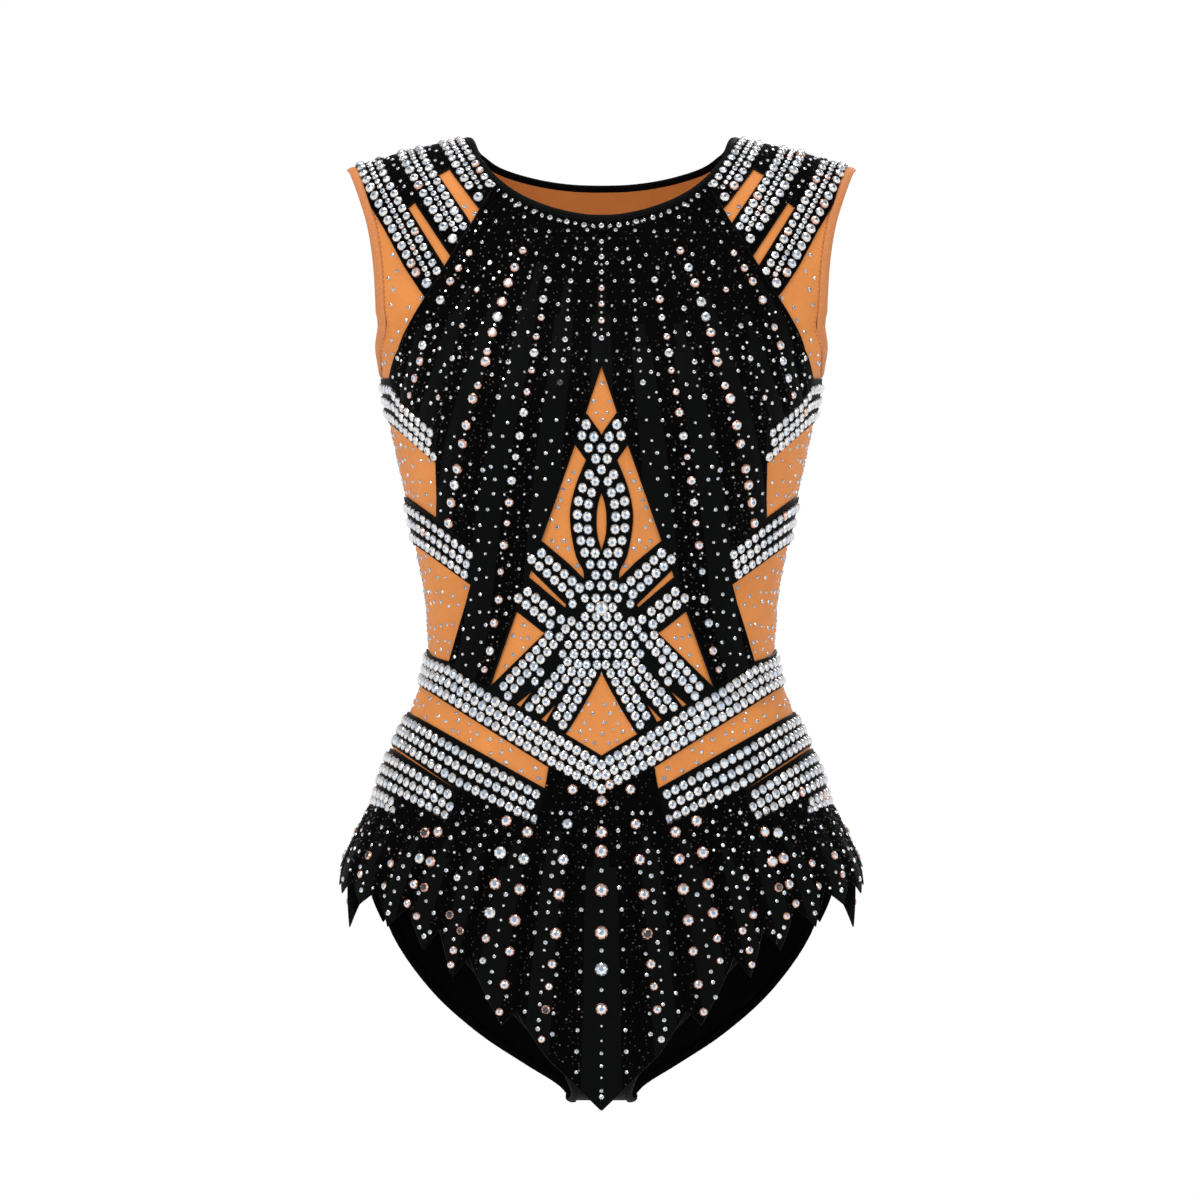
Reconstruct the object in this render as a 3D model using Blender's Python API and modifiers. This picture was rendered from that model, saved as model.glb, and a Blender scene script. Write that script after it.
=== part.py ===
"""A sleeveless competition leotard with a pointed, pleated skirt, in the hollow form it has when worn.

Blender 4.5 script: blender --background --python part.py
The front faces -Y, +X is the wearer's left and +Z is up. The origin lies on the shoulder line,
midway between the shoulders that carry the garment.

Every piece of cloth is drawn flat first, in pattern coordinates: the angle round the body in degrees
(0 at the centre front, 90 at the wearer's left side seam, 180 at the centre back) and the station
along the body in millimetres. It is then creased, thickened and wrapped on a general figure.
Sizes in the tables are millimetres as seen from straight in front, unless a column says degrees.
"""

import math

import bmesh
import bpy

MM = 0.001

# Cloth build-up, outward from the figure's surface
MESH_THICK = 1.0
LAYER_GAP = 0.8
CLOTH_THICK = 1.1
BINDING_THICK = 2.6
SEAM_HALF_GAP = 0.2

# Trim widths
NECK_TRIM = 4.0
ARM_TRIM = 5.0
LEG_TRIM = 5.0

# Where the cloth is creased when it is wrapped, closer where the figure curves more
QUARTER_ANGLES = (13.0, 25.0, 37.0, 47.0, 56.0, 64.0, 72.0, 80.0)
LEVELS = (
    (40.0, 20.0, 0.0, -21.0, -42.0, -64.0, -86.0, -107.0, -127.0, -146.0)
    + (-164.0, -184.0, -206.0, -230.0, -256.0, -282.0, -304.0, -322.0, -338.0, -354.0, -370.0, -386.0)
    + (-404.0, -424.0, -446.0, -470.0, -495.0, -522.0, -549.0, -575.0, -598.0, -618.0, -634.0, -648.0)
)
SKIRT_LEVELS = (-424.0, -446.0, -470.0, -500.0, -540.0, -585.0, -620.0)
OUTLINE_STEP = 22.0
CORNER_ANGLE = 1.5
DEGREE_MM = 2.5

# The gathers of the bodice fan out from one point above the neckline
BODICE_FAN_STATION = 25.6
BODICE_FAN_REFERENCE = -92.0
BODICE_PLEATS_PER_SIDE = 13
BODICE_PLEAT_ANGLE = 3.7
BODICE_PLEAT_HEIGHT = 1.3
BODICE_TURN_ANGLE = 50.0

# The skirt's pleats deepen from the belt to the points
SKIRT_PLEAT_TOP = -420.0
SKIRT_PLEAT_SHALLOW = 0.5
SKIRT_PLEAT_DEEP = 3.6
SKIRT_PLEAT_RUN = 70.0
SKIRT_SEAM_PETAL = 9
SKIRT_TAB_CLEARANCE = 2.0
SKIRT_TAB_CORNER = (147.0, -444.5)

# The bust cups that the darts give, with the stretch cloth bridging between them
CUP_DEPTH = 13.0
CUP_ANGLE = 34.0
CUP_ANGLE_SPREAD = 28.0
CUP_STATION = -172.0
CUP_STATION_SPREAD = 40.0

SHOULDER_STATION = 59.0
CROTCH_STATION = -659.0
ARMPIT_STATION = -146.0
SIDE_ANGLE = 90.0
BACK_ANGLE = 180.0
CORNER_POWER = 2.3

# station, height at the centre, drop at the side, half width, front depth, back depth, side's y
BODY_SECTIONS = (
    (59.0, 17.9, 31.6, 178.0, 0.2, 0.2, 6.0),
    (40.0, 16.5, 32.0, 178.5, 16.0, 18.0, 6.0),
    (20.0, 11.5, 32.0, 179.0, 32.0, 36.0, 6.0),
    (0.0, 2.0, 31.0, 179.0, 46.0, 52.0, 6.0),
    (-21.0, -13.0, 29.0, 178.0, 58.0, 66.0, 6.0),
    (-42.0, -32.0, 24.0, 177.0, 67.0, 76.0, 5.5),
    (-64.0, -55.0, 18.0, 175.0, 76.0, 83.0, 5.0),
    (-86.0, -80.0, 11.0, 171.0, 84.0, 88.0, 4.5),
    (-107.0, -105.0, 5.0, 166.0, 91.0, 91.0, 4.0),
    (-127.0, -127.0, 1.5, 158.0, 96.0, 93.0, 3.5),
    (-146.0, -146.0, 0.0, 149.3, 99.0, 93.0, 3.0),
    (-166.6, -166.6, 0.0, 145.9, 101.0, 93.0, 2.5),
    (-200.6, -200.6, 0.0, 139.1, 98.0, 91.0, 1.5),
    (-234.6, -234.6, 0.0, 131.6, 93.0, 88.0, 1.0),
    (-268.6, -268.6, 0.0, 124.8, 87.0, 84.0, 0.5),
    (-302.6, -302.6, 0.0, 118.7, 82.0, 81.0, 0.0),
    (-333.0, -333.0, 0.0, 116.6, 80.0, 80.0, 0.0),
    (-350.0, -350.0, 0.0, 118.7, 80.5, 82.0, 0.5),
    (-370.6, -370.6, 0.0, 126.1, 82.0, 88.0, 1.0),
    (-384.2, -384.2, 0.0, 131.6, 83.5, 92.0, 1.6),
    (-397.8, -397.8, 0.0, 138.4, 85.0, 97.0, 2.2),
    (-418.2, -418.2, 0.0, 147.2, 87.0, 104.0, 3.0),
    (-438.6, -438.6, 0.0, 153.0, 88.0, 109.0, 4.0),
    (-472.0, -472.0, 0.0, 158.0, 87.5, 112.0, 5.0),
    (-506.0, -506.0, 0.0, 159.0, 84.0, 109.0, 6.0),
    (-540.0, -540.0, 0.0, 153.0, 78.0, 101.0, 6.5),
    (-575.0, -575.0, 0.0, 134.0, 68.0, 85.0, 7.0),
    (-604.0, -604.0, 0.0, 100.0, 54.0, 65.0, 7.5),
    (-626.0, -626.0, 0.0, 60.0, 35.0, 42.0, 8.0),
    (-636.0, -634.0, 0.0, 42.0, 24.0, 28.0, 8.0),
    (-648.0, -639.6, 0.0, 29.0, 12.0, 14.0, 8.0),
    (-659.0, -642.0, 0.0, 22.0, 0.2, 0.2, 8.0),
)

# The skirt follows the hips and then hangs and flares clear of them. Same columns as above
SKIRT_SECTIONS = (
    (-370.6, -370.6, 0.0, 126.1, 82.0, 88.0, 1.0),
    (-384.2, -384.2, 0.0, 131.6, 83.5, 92.0, 1.6),
    (-397.8, -397.8, 0.0, 138.4, 85.0, 97.0, 2.2),
    (-418.2, -418.2, 0.0, 147.2, 87.0, 104.0, 3.0),
    (-438.6, -438.6, 0.0, 153.0, 88.0, 109.0, 4.0),
    (-455.0, -455.0, 0.0, 160.5, 89.8, 112.0, 4.5),
    (-472.0, -472.0, 0.0, 168.5, 91.5, 115.5, 5.0),
    (-485.0, -485.0, 0.0, 173.5, 92.5, 118.0, 5.4),
    (-502.0, -502.0, 0.0, 176.5, 93.5, 121.0, 6.0),
    (-526.0, -526.0, 0.0, 179.0, 94.0, 124.0, 6.0),
    (-557.0, -557.0, 0.0, 181.0, 94.0, 126.0, 6.0),
    (-588.0, -588.0, 0.0, 182.0, 92.5, 127.0, 6.0),
    (-620.0, -620.0, 0.0, 183.0, 90.0, 126.0, 6.0),
    (-655.0, -655.0, 0.0, 183.0, 86.0, 124.0, 6.0),
)

# Each petal of the skirt, centre front to centre back.
# tip angle, tip height, outer valley angle, outer valley height, valley's angle at the belt
PETALS = (
    (0.0, -646.0, 8.5, -620.0, 6.0),
    (11.9, -608.6, 18.0, -579.2, 12.5),
    (20.9, -588.5, 28.5, -543.2, 21.0),
    (31.6, -556.9, 35.3, -524.3, 28.5),
    (38.8, -538.9, 43.8, -510.0, 36.5),
    (49.0, -523.6, 52.5, -497.1, 46.0),
    (60.0, -508.6, 66.5, -492.0, 60.0),
    (73.0, -501.8, 79.5, -481.0, 75.0),
    (86.0, -484.8, 93.0, -472.0, 91.0),
    (100.0, -497.0, 106.0, -480.0, 106.0),
    (114.5, -526.3, 121.0, -497.0, 122.0),
    (129.0, -523.6, 134.5, -506.0, 136.0),
    (140.0, -538.9, 145.0, -522.0, 147.0),
    (150.0, -556.9, 154.0, -541.0, 156.0),
    (160.0, -588.5, 164.0, -574.0, 165.5),
    (169.0, -608.6, 172.5, -612.0, 174.0),
    (180.0, -640.0, 187.5, -612.0, 186.0),
)

# Edges of the pieces on the wearer's left, seen from the front: x, z
NECK_EDGE = ((82.6, -3.4), (71.1, -17.0), (55.4, -28.6), (35.0, -37.4), (14.6, -42.2), (0.0, -43.2))
BACK_NECK_EDGE = ((84.0, 2.0), (70.0, -8.0), (48.0, -15.0), (24.0, -19.0), (0.0, -20.0))
ARM_EDGE = ((164.2, -27.9), (158.1, -47.6), (154.0, -71.4), (152.0, -98.6), (150.8, -122.4))
BACK_ARM_EDGE = ((163.0, -27.9), (155.0, -50.0), (150.0, -74.0), (148.5, -100.0), (149.0, -124.0))
NECK_RIDGE_X = 89.4
ARM_RIDGE_X = 172.4
LEG_EDGE = (
    (150.0, -480.0),
    (122.0, -512.0),
    (80.0, -560.0),
    (50.0, -592.0),
    (36.4, -606.6),
    (26.0, -621.0),
    (20.5, -634.0),
    (20.5, -639.6),
)
BACK_LEG_EDGE = (
    (154.0, -488.0),
    (142.0, -530.0),
    (116.0, -568.0),
    (84.0, -597.0),
    (52.0, -618.0),
    (32.0, -630.0),
    (22.5, -637.5),
)
LEG_TOP_STATION = -465.0
CROTCH_EDGE_ANGLE = 80.0
CROTCH_SEAM_ANGLE = 50.0

RAGLAN_NECK = (71.1, -22.8)
RAGLAN_LOW = (118.0, -98.6)
BODICE_SIDE = ((123.4, -107.4), (132.3, -123.8), (137.4, -137.4), (141.1, -153.0))
APEX = (0.0, -143.5)
LEG_OF_A_OUTER = (101.2, -345.3)
LEG_OF_A_INNER = (75.5, -363.1)

# The slanting side bands: their corners, and the heights of their two edges at the side seam
CHEST_BAND_TOP = ((134.3, -165.6), (124.8, -174.1), (109.8, -187.0))
CHEST_BAND_END = (109.8, -209.8)
CHEST_BAND_LOW = (144.5, -178.8)
CHEST_BAND_SIDE = (-152.4, -178.8)
RIB_BAND_OUTER = (130.0, -233.2)
RIB_BAND_INNER = (109.7, -248.2)
RIB_BAND_TOP = (83.3, -270.0)
RIB_BAND_END = (86.7, -292.0)
RIB_BAND_LOW = (124.0, -264.4)
RIB_BAND_SIDE = (-232.6, -264.4)

# The belts: upper line from the centre outward, side heights, lower line back from the side
WAIST_BELT_LINE = ((0.0, -408.5), LEG_OF_A_INNER, LEG_OF_A_OUTER)
WAIST_BELT_SIDE = (-336.6, -359.7)
WAIST_BELT_LOWER = ((121.0, -360.7), (35.0, -415.0), (0.0, -434.5))
HIP_BELT_LINE = ((43.9, -455.6), (37.7, -430.8), (129.0, -380.1))
HIP_BELT_SIDE = (-379.7, -401.6)
HIP_BELT_LOWER = ((137.5, -402.8), (96.2, -430.4))
HIP_BAND_LINE = ((101.7, -453.6), (96.8, -432.0), (138.5, -405.8))
HIP_BAND_SIDE = (-404.6, -428.6)
HIP_BAND_LOWER = ((148.0, -429.8), (135.0, -436.6))
HIP_TAB_LINE = ((137.6, -449.5), (135.6, -438.0), (148.5, -430.8))
HIP_TAB_SIDE = (-429.6, -441.5)
HIP_TAB_LOWER = ((151.5, -442.3),)
HIP_TAB_SIDE_ANGLE = 91.0
BELT_BACK_FALL = 14.0

# The shoulder piece: its two windows, its outer edge, and its plain end behind the shoulder
INNER_WINDOW = ((82.5, -37.8), (102.5, -11.0), (110.8, -15.6), (88.3, -48.7))
OUTER_WINDOW = ((101.3, -70.3), (125.7, -33.3), (131.1, -37.7), (105.9, -78.2))
YOKE_OUTER = ((132.3, -76.8), (145.2, -52.4), (155.4, -35.4))
YOKE_RIDGE_X = 166.0
YOKE_BACK_NECK_STATION = -17.0
YOKE_BACK_HEM = ((88.0, -34.0), (150.0, -34.0))

# Where the mesh ends and the brief begins
MESH_HEM_SIDE = -437.0
MESH_HEM_CENTRE = -480.0

# The crossed straps of the centre motif, half of them, from the top down the outer side and back
MOTIF_TOP = ((0.0, -191.8), (11.0, -176.5), (18.0, -196.0))
MOTIF_LOOP = (
    (9.7, -207.9),
    (16.5, -224.8),
    (20.2, -241.1),
    (19.9, -255.0),
    (16.5, -272.5),
    (11.6, -282.2),
    (11.0, -289.9),
    (22.9, -277.9),
)
MOTIF_UPPER_STRAP = ((40.8, -262.8), (47.3, -281.2))
MOTIF_SLIT = ((23.1, -305.3), (24.3, -308.7))
MOTIF_LOWER_STRAP = ((49.3, -287.2), (56.8, -309.4))
MOTIF_RAYS = (
    (37.2, -325.0),
    (75.5, -363.1),
    (58.1, -373.2),
    (41.8, -359.4),
    (54.1, -375.6),
    (41.1, -383.4),
    (26.2, -367.2),
    (37.1, -385.8),
    (24.8, -393.2),
)
MOTIF_WINDOWS = ((0.0, -349.9), (0.0, -270.4), (4.1, -248.9), (0.0, -227.8))

# Colour and roughness of each cloth
MATERIALS = {
    "nude_mesh": ((0.58, 0.24, 0.07, 1.0), 0.7),
    "black_velvet": ((0.012, 0.012, 0.013, 1.0), 0.8),
    "black_satin": ((0.02, 0.02, 0.022, 1.0), 0.45),
    "crystal_band": ((0.55, 0.56, 0.6, 1.0), 0.2),
}


# The figure that the cloth is wrapped on


def between(table, station):
    """The columns of a section table at a station, by a smooth cubic through its rows."""
    last = len(table) - 1
    row = 0
    while row < last - 1 and station < table[row + 1][0]:
        row += 1
    upper, lower = table[row], table[row + 1]
    before = table[max(row - 1, 0)]
    after = table[min(row + 2, last)]
    span = lower[0] - upper[0]
    t = min(max((station - upper[0]) / span, 0.0), 1.0)
    values = []
    for column in range(1, len(upper)):
        slope_in = (lower[column] - before[column]) / (lower[0] - before[0]) * span
        slope_out = (after[column] - upper[column]) / (after[0] - upper[0]) * span
        values.append(
            upper[column] * (2 * t**3 - 3 * t**2 + 1)
            + slope_in * (t**3 - 2 * t**2 + t)
            + lower[column] * (3 * t**2 - 2 * t**3)
            + slope_out * (t**3 - t**2)
        )
    return values


def cup_bulge(angle, station):
    """How far the bust cups stand forward of the plain figure."""
    along = math.exp(-(((station - CUP_STATION) / CUP_STATION_SPREAD) ** 2))
    sides = (math.exp(-(((angle - c) / CUP_ANGLE_SPREAD) ** 2)) for c in (-CUP_ANGLE, CUP_ANGLE))
    return CUP_DEPTH * along * sum(sides)


def surface_point(table, angle, station):
    """The point of the figure at a pattern coordinate."""
    height, drop, half_width, front, back, side_y = between(table, station)
    sine = math.sin(math.radians(angle))
    cosine = math.cos(math.radians(angle))
    reach = (abs(sine) ** CORNER_POWER + abs(cosine) ** CORNER_POWER) ** (-1 / CORNER_POWER)
    across = reach * sine
    along = reach * cosine
    depth = front if cosine > 0 else back
    y = side_y - depth * along
    if table is BODY_SECTIONS and cosine > 0:
        y -= cup_bulge(angle, station)
    return half_width * across, y, height - drop * across**2


def surface_normal(table, angle, station):
    """The outward direction there, from small steps round and along the figure."""
    turn, step = 0.3, 0.4
    high = min(station + step, table[0][0])
    low = max(station - step, table[-1][0])
    ax, ay, az = surface_point(table, angle - turn, station)
    bx, by, bz = surface_point(table, angle + turn, station)
    cx, cy, cz = surface_point(table, angle, low)
    dx, dy, dz = surface_point(table, angle, high)
    ux, uy, uz = bx - ax, by - ay, bz - az
    vx, vy, vz = dx - cx, dy - cy, dz - cz
    nx, ny, nz = uy * vz - uz * vy, uz * vx - ux * vz, ux * vy - uy * vx
    size = math.sqrt(nx * nx + ny * ny + nz * nz)
    return nx / size, ny / size, nz / size


def angle_of(share):
    """The angle round the body at which a ring reaches this share of its half width."""
    share = min(max(share, 1e-9), 1.0)
    cotangent = max(share**-CORNER_POWER - 1, 0.0) ** (1 / CORNER_POWER)
    return math.degrees(math.atan2(1.0, cotangent)) if share > 1e-8 else 0.0


def pattern_point(table, x, z):
    """The pattern coordinate of a point seen from the front."""
    high, low = table[0][0], table[-1][0]
    for _ in range(40):
        station = (high + low) / 2
        height, drop, half_width = between(table, station)[:3]
        if height - drop * min(x / half_width, 1.0) ** 2 > z:
            high = station
        else:
            low = station
    half_width = between(table, station)[2]
    return angle_of(x / half_width), station


def ridge(x, back=False):
    """The pattern coordinate of a point of the shoulder ridge."""
    angle = angle_of(x / BODY_SECTIONS[0][3])
    return (BACK_ANGLE - angle if back else angle), SHOULDER_STATION


# Lines on the pattern


def split_line(points, step=OUTLINE_STEP):
    """A line with points added, so that no stretch is longer than step."""
    line = [points[0]]
    for start, end in zip(points, points[1:]):
        parts = max(1, math.ceil(math.dist(start, end) / step))
        for i in range(1, parts + 1):
            share = i / parts
            line.append(tuple(a + (b - a) * share for a, b in zip(start, end)))
    return line


def seen(points, table=BODY_SECTIONS, back=False):
    """Pattern coordinates of a line that is drawn straight in the front or back view."""
    line = [pattern_point(table, x, z) for x, z in split_line(points)]
    return [(BACK_ANGLE - angle, station) for angle, station in line] if back else line


def shifted(points, by):
    """A line moved sideways by a distance, to the right of its direction of travel."""
    moved = []
    for i, (x, z) in enumerate(points):
        before = points[max(i - 1, 0)]
        after = points[min(i + 1, len(points) - 1)]
        run, rise = after[0] - before[0], after[1] - before[1]
        size = math.hypot(run, rise)
        moved.append((x + rise / size * by, z - run / size * by))
    return moved


def inset(outline, by=SEAM_HALF_GAP):
    """The outline drawn in by half a seam's gap. A point on the plane of symmetry stays on it."""
    flat = [(angle * DEGREE_MM, station) for angle, station in outline]
    area = sum(a[0] * b[1] - b[0] * a[1] for a, b in zip(flat, flat[1:] + flat[:1]))
    turn = 1 if area > 0 else -1
    drawn = []
    for i, (p, q) in enumerate(flat):
        before, after = flat[i - 1], flat[(i + 1) % len(flat)]
        sides = []
        for (ap, aq), (bp, bq) in ((before, (p, q)), ((p, q), after)):
            size = max(math.hypot(bp - ap, bq - aq), 1e-9)
            sides.append((-(bq - aq) / size * turn, (bp - ap) / size * turn))
        np, nq = sides[0][0] + sides[1][0], sides[0][1] + sides[1][1]
        square = max(np * np + nq * nq, 0.5)
        moved = [p + 2 * by * np / square, q + 2 * by * nq / square]
        angle = outline[i][0]
        drawn.append((angle if on_plane(angle) else moved[0] / DEGREE_MM, moved[1]))
    return drawn


def without_repeats(points, closer_than=0.3):
    """The outline with points that fall on each other left out."""
    kept = []
    for point in points:
        if not kept or math.dist(point, kept[-1]) > closer_than:
            kept.append(point)
    if math.dist(kept[0], kept[-1]) <= closer_than:
        kept.pop()
    return kept


def upright_creases(low_angle, high_angle):
    """Creases along the body, at angles that repeat in each quarter of the way round."""
    half = QUARTER_ANGLES + (SIDE_ANGLE,) + tuple(BACK_ANGLE - angle for angle in QUARTER_ANGLES[::-1])
    return [((angle, 0.0), (0.0, 1.0)) for angle in half if low_angle < angle < high_angle]


def level_creases(levels=LEVELS):
    """Creases along the rings of the figure."""
    return [((0.0, level), (1.0, 0.0)) for level in levels]


def ring_creases(low_angle, high_angle):
    """Both kinds of crease together."""
    return upright_creases(low_angle, high_angle) + level_creases()


# From a flat pattern to a wall of cloth


def flat_pattern(outline, creases, pieced=False):
    """The outline filled with cloth and creased, still flat."""
    mesh = bmesh.new()
    mesh.faces.new([mesh.verts.new((angle, station, 0.0)) for angle, station in outline])
    if pieced:
        bmesh.ops.triangulate(mesh, faces=mesh.faces[:])
    for (angle, station), (run, rise) in creases:
        everything = mesh.verts[:] + mesh.edges[:] + mesh.faces[:]
        bmesh.ops.bisect_plane(
            mesh,
            geom=everything,
            dist=0.1,
            plane_co=(angle, station, 0.0),
            plane_no=(-rise, run, 0.0),
        )
    bmesh.ops.remove_doubles(mesh, verts=mesh.verts[:], dist=0.03)
    bmesh.ops.triangulate(mesh, faces=mesh.faces[:])
    return mesh


def thicken(mesh):
    """Gives the flat pattern a second layer, one unit above the first, and closes its edges."""
    extruded = bmesh.ops.extrude_face_region(mesh, geom=mesh.faces[:])
    for item in extruded["geom"]:
        if isinstance(item, bmesh.types.BMVert):
            item.co.z = 1.0


def on_plane(angle):
    """Whether a pattern angle lies on the plane of symmetry."""
    return abs(angle) < 1e-6 or abs(angle - BACK_ANGLE) < 1e-6


def wrap(mesh, table, layers, side, relief):
    """Lays the thick pattern on the figure, its two sides at the two heights in layers."""
    for vertex in mesh.verts:
        angle, station, layer = vertex.co
        x, y, z = surface_point(table, angle, station)
        nx, ny, nz = surface_normal(table, angle, station)
        outer = layer > 0.5
        off = layers[1] if outer else layers[0]
        off += relief(angle, station, outer)
        x = 0.0 if on_plane(angle) else x + nx * off
        vertex.co = (side * x * MM, (y + ny * off) * MM, (z + nz * off) * MM)


def open_at_plane(mesh):
    """Removes the faces that lie on the plane of symmetry, where the other half joins on."""
    closing = [f for f in mesh.faces if all(abs(v.co.x) < 1e-9 for v in f.verts)]
    bmesh.ops.delete(mesh, geom=closing, context="FACES")


def cloth_material(name):
    """The plain material of one cloth."""
    material = bpy.data.materials.get(name)
    if material:
        return material
    colour, roughness = MATERIALS[name]
    material = bpy.data.materials.new(name)
    material.use_nodes = True
    shader = material.node_tree.nodes["Principled BSDF"]
    shader.inputs["Base Color"].default_value = colour
    shader.inputs["Roughness"].default_value = roughness
    shader.inputs["Metallic"].default_value = 0.0
    material.diffuse_color = colour
    return material


def no_relief(angle, station, outer):
    """A plain piece: its outside follows its inside."""
    return 0.0


def piece(name, outline, cloth, layers, creases, side=0, **shape):
    """One piece of cloth. Side 1 is the wearer's left, -1 the right, and 0 a half with a Mirror.

    Shape may name the section table that the piece follows, the relief of its outside, and whether
    its outline is so ragged that it is pieced from triangles before it is creased.
    """
    mesh = flat_pattern(inset(without_repeats(outline)), creases, shape.get("pieced", False))
    thicken(mesh)
    table = shape.get("table", BODY_SECTIONS)
    wrap(mesh, table, layers, side or 1, shape.get("relief", no_relief))
    bmesh.ops.recalc_face_normals(mesh, faces=mesh.faces[:])
    if mesh.calc_volume(signed=True) < 0:
        bmesh.ops.reverse_faces(mesh, faces=mesh.faces[:])
    if side == 0:
        open_at_plane(mesh)
    data = bpy.data.meshes.new(name)
    mesh.to_mesh(data)
    mesh.free()
    data.shade_smooth()
    data.set_sharp_from_angle(angle=math.radians(40))
    data.materials.append(cloth_material(cloth))
    garment = bpy.data.objects.new(name, data)
    bpy.data.collections["leotard"].objects.link(garment)
    if side == 0:
        mirror = garment.modifiers.new("other_half", "MIRROR")
        mirror.merge_threshold = 0.00001
    return garment


UNDER = (0.0, MESH_THICK)
OVER = (MESH_THICK + LAYER_GAP, MESH_THICK + LAYER_GAP + CLOTH_THICK)
TRIM = (0.0, BINDING_THICK)
SIDES = (("left", 1), ("right", -1))


# The nude mesh body and its bindings


def neck_lines():
    """The neck edge and the seam of its binding, front and back, from the ridge to the centre."""
    front_edge = [ridge(NECK_RIDGE_X)] + seen(NECK_EDGE)
    front_seam = [ridge(NECK_RIDGE_X + NECK_TRIM)] + seen(shifted(NECK_EDGE, -NECK_TRIM))
    back_edge = [ridge(NECK_RIDGE_X, True)] + seen(BACK_NECK_EDGE, back=True)
    back_seam = [ridge(NECK_RIDGE_X + NECK_TRIM, True)] + seen(
        shifted(BACK_NECK_EDGE, -NECK_TRIM), back=True
    )
    for line in (front_edge, front_seam):
        line[-1] = (0.0, line[-1][1])
    for line in (back_edge, back_seam):
        line[-1] = (BACK_ANGLE, line[-1][1])
    return front_edge, front_seam, back_edge, back_seam


def arm_lines():
    """The armhole edge and the seam of its binding, front and back, from the ridge to the side."""
    lines = []
    for edge, back in ((ARM_EDGE, False), (BACK_ARM_EDGE, True)):
        for width in (0.0, ARM_TRIM):
            line = [ridge(ARM_RIDGE_X - width, back)]
            line += seen(shifted(edge, width), back=back)
            lines.append(line + [(SIDE_ANGLE, ARMPIT_STATION - width)])
    return lines


def leg_lines():
    """The leg edge and the seam of its binding, front and back, from the side to the crotch."""
    lines = []
    for edge, back in ((LEG_EDGE, False), (BACK_LEG_EDGE, True)):
        for width, foot in ((0.0, CROTCH_EDGE_ANGLE), (LEG_TRIM, CROTCH_SEAM_ANGLE)):
            line = [(SIDE_ANGLE, LEG_TOP_STATION + width)]
            line += seen(shifted(edge, width), back=back)
            lines.append(line + [(BACK_ANGLE - foot if back else foot, CROTCH_STATION)])
    return lines


def mesh_body():
    """The nude net front and back that everything else is sewn to."""
    _, front_neck, _, back_neck = neck_lines()
    _, front_arm, _, back_arm = arm_lines()
    hem = [(SIDE_ANGLE, MESH_HEM_SIDE), (0.0, MESH_HEM_CENTRE)]
    front = front_arm + hem + front_neck[::-1]
    piece("mesh_front", front, "nude_mesh", UNDER, ring_creases(0, SIDE_ANGLE))
    hem = [(SIDE_ANGLE, MESH_HEM_SIDE), (BACK_ANGLE, MESH_HEM_SIDE)]
    back = back_arm + hem + back_neck[::-1]
    piece("mesh_back", back, "nude_mesh", UNDER, ring_creases(SIDE_ANGLE, BACK_ANGLE))


def bindings():
    """The bound edges of neck, armholes and legs."""
    front, back = ring_creases(0, SIDE_ANGLE), ring_creases(SIDE_ANGLE, BACK_ANGLE)
    neck, neck_seam, back_neck, back_neck_seam = neck_lines()
    piece("neck_binding_front", neck + neck_seam[::-1], "black_satin", TRIM, front)
    piece("neck_binding_back", back_neck + back_neck_seam[::-1], "black_satin", TRIM, back)
    arm, arm_seam, back_arm, back_arm_seam = arm_lines()
    leg, leg_seam, back_leg, back_leg_seam = leg_lines()
    loop = leg[::-1] + back_leg[1:] + back_leg_seam[::-1] + leg_seam[1:]
    for name, side in SIDES:
        piece("arm_binding_front_" + name, arm + arm_seam[::-1], "nude_mesh", TRIM, front, side)
        piece("arm_binding_back_" + name, back_arm + back_arm_seam[::-1], "nude_mesh", TRIM, back, side)
        piece("leg_binding_" + name, loop, "black_satin", TRIM, ring_creases(0, BACK_ANGLE), side)


# The black cloth laid over the mesh


def bodice_fan(count):
    """Creases along the bodice's gathers, two to a pleat."""
    creases = []
    run = BODICE_FAN_STATION - BODICE_FAN_REFERENCE
    for i in range(1, 2 * count + 1):
        angle = BODICE_PLEAT_ANGLE * i / 2
        creases.append(((angle, BODICE_FAN_REFERENCE), (angle / run, -1.0)))
    return creases


def bodice_pleat(angle, station, outer):
    """The gathers stand up from a plain inside: high on the even creases, low on the odd ones."""
    if not outer:
        return 0.0
    run = BODICE_FAN_STATION - BODICE_FAN_REFERENCE
    fan = angle * run / max(BODICE_FAN_STATION - station, 1.0) / BODICE_PLEAT_ANGLE
    return BODICE_PLEAT_HEIGHT * abs(2 * (fan - math.floor(fan)) - 1)


def bodice():
    """The gathered black front, an A whose two legs run down to the belt."""
    neck = neck_lines()[1]
    start = pattern_point(BODY_SECTIONS, *RAGLAN_NECK)
    neck = [point for point in neck if point[0] < start[0] - CORNER_ANGLE]
    outline = neck[::-1] + [start]
    outline += seen((RAGLAN_NECK, RAGLAN_LOW) + BODICE_SIDE + CHEST_BAND_TOP + (CHEST_BAND_END,))[1:]
    outline += seen((CHEST_BAND_END, RIB_BAND_INNER, RIB_BAND_TOP, RIB_BAND_END))[1:]
    outline += seen((RIB_BAND_END, LEG_OF_A_OUTER, LEG_OF_A_INNER, APEX))[1:]
    creases = bodice_fan(BODICE_PLEATS_PER_SIDE) + ring_creases(BODICE_TURN_ANGLE, SIDE_ANGLE)
    piece("bodice", outline, "black_velvet", OVER, creases, relief=bodice_pleat)


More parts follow.
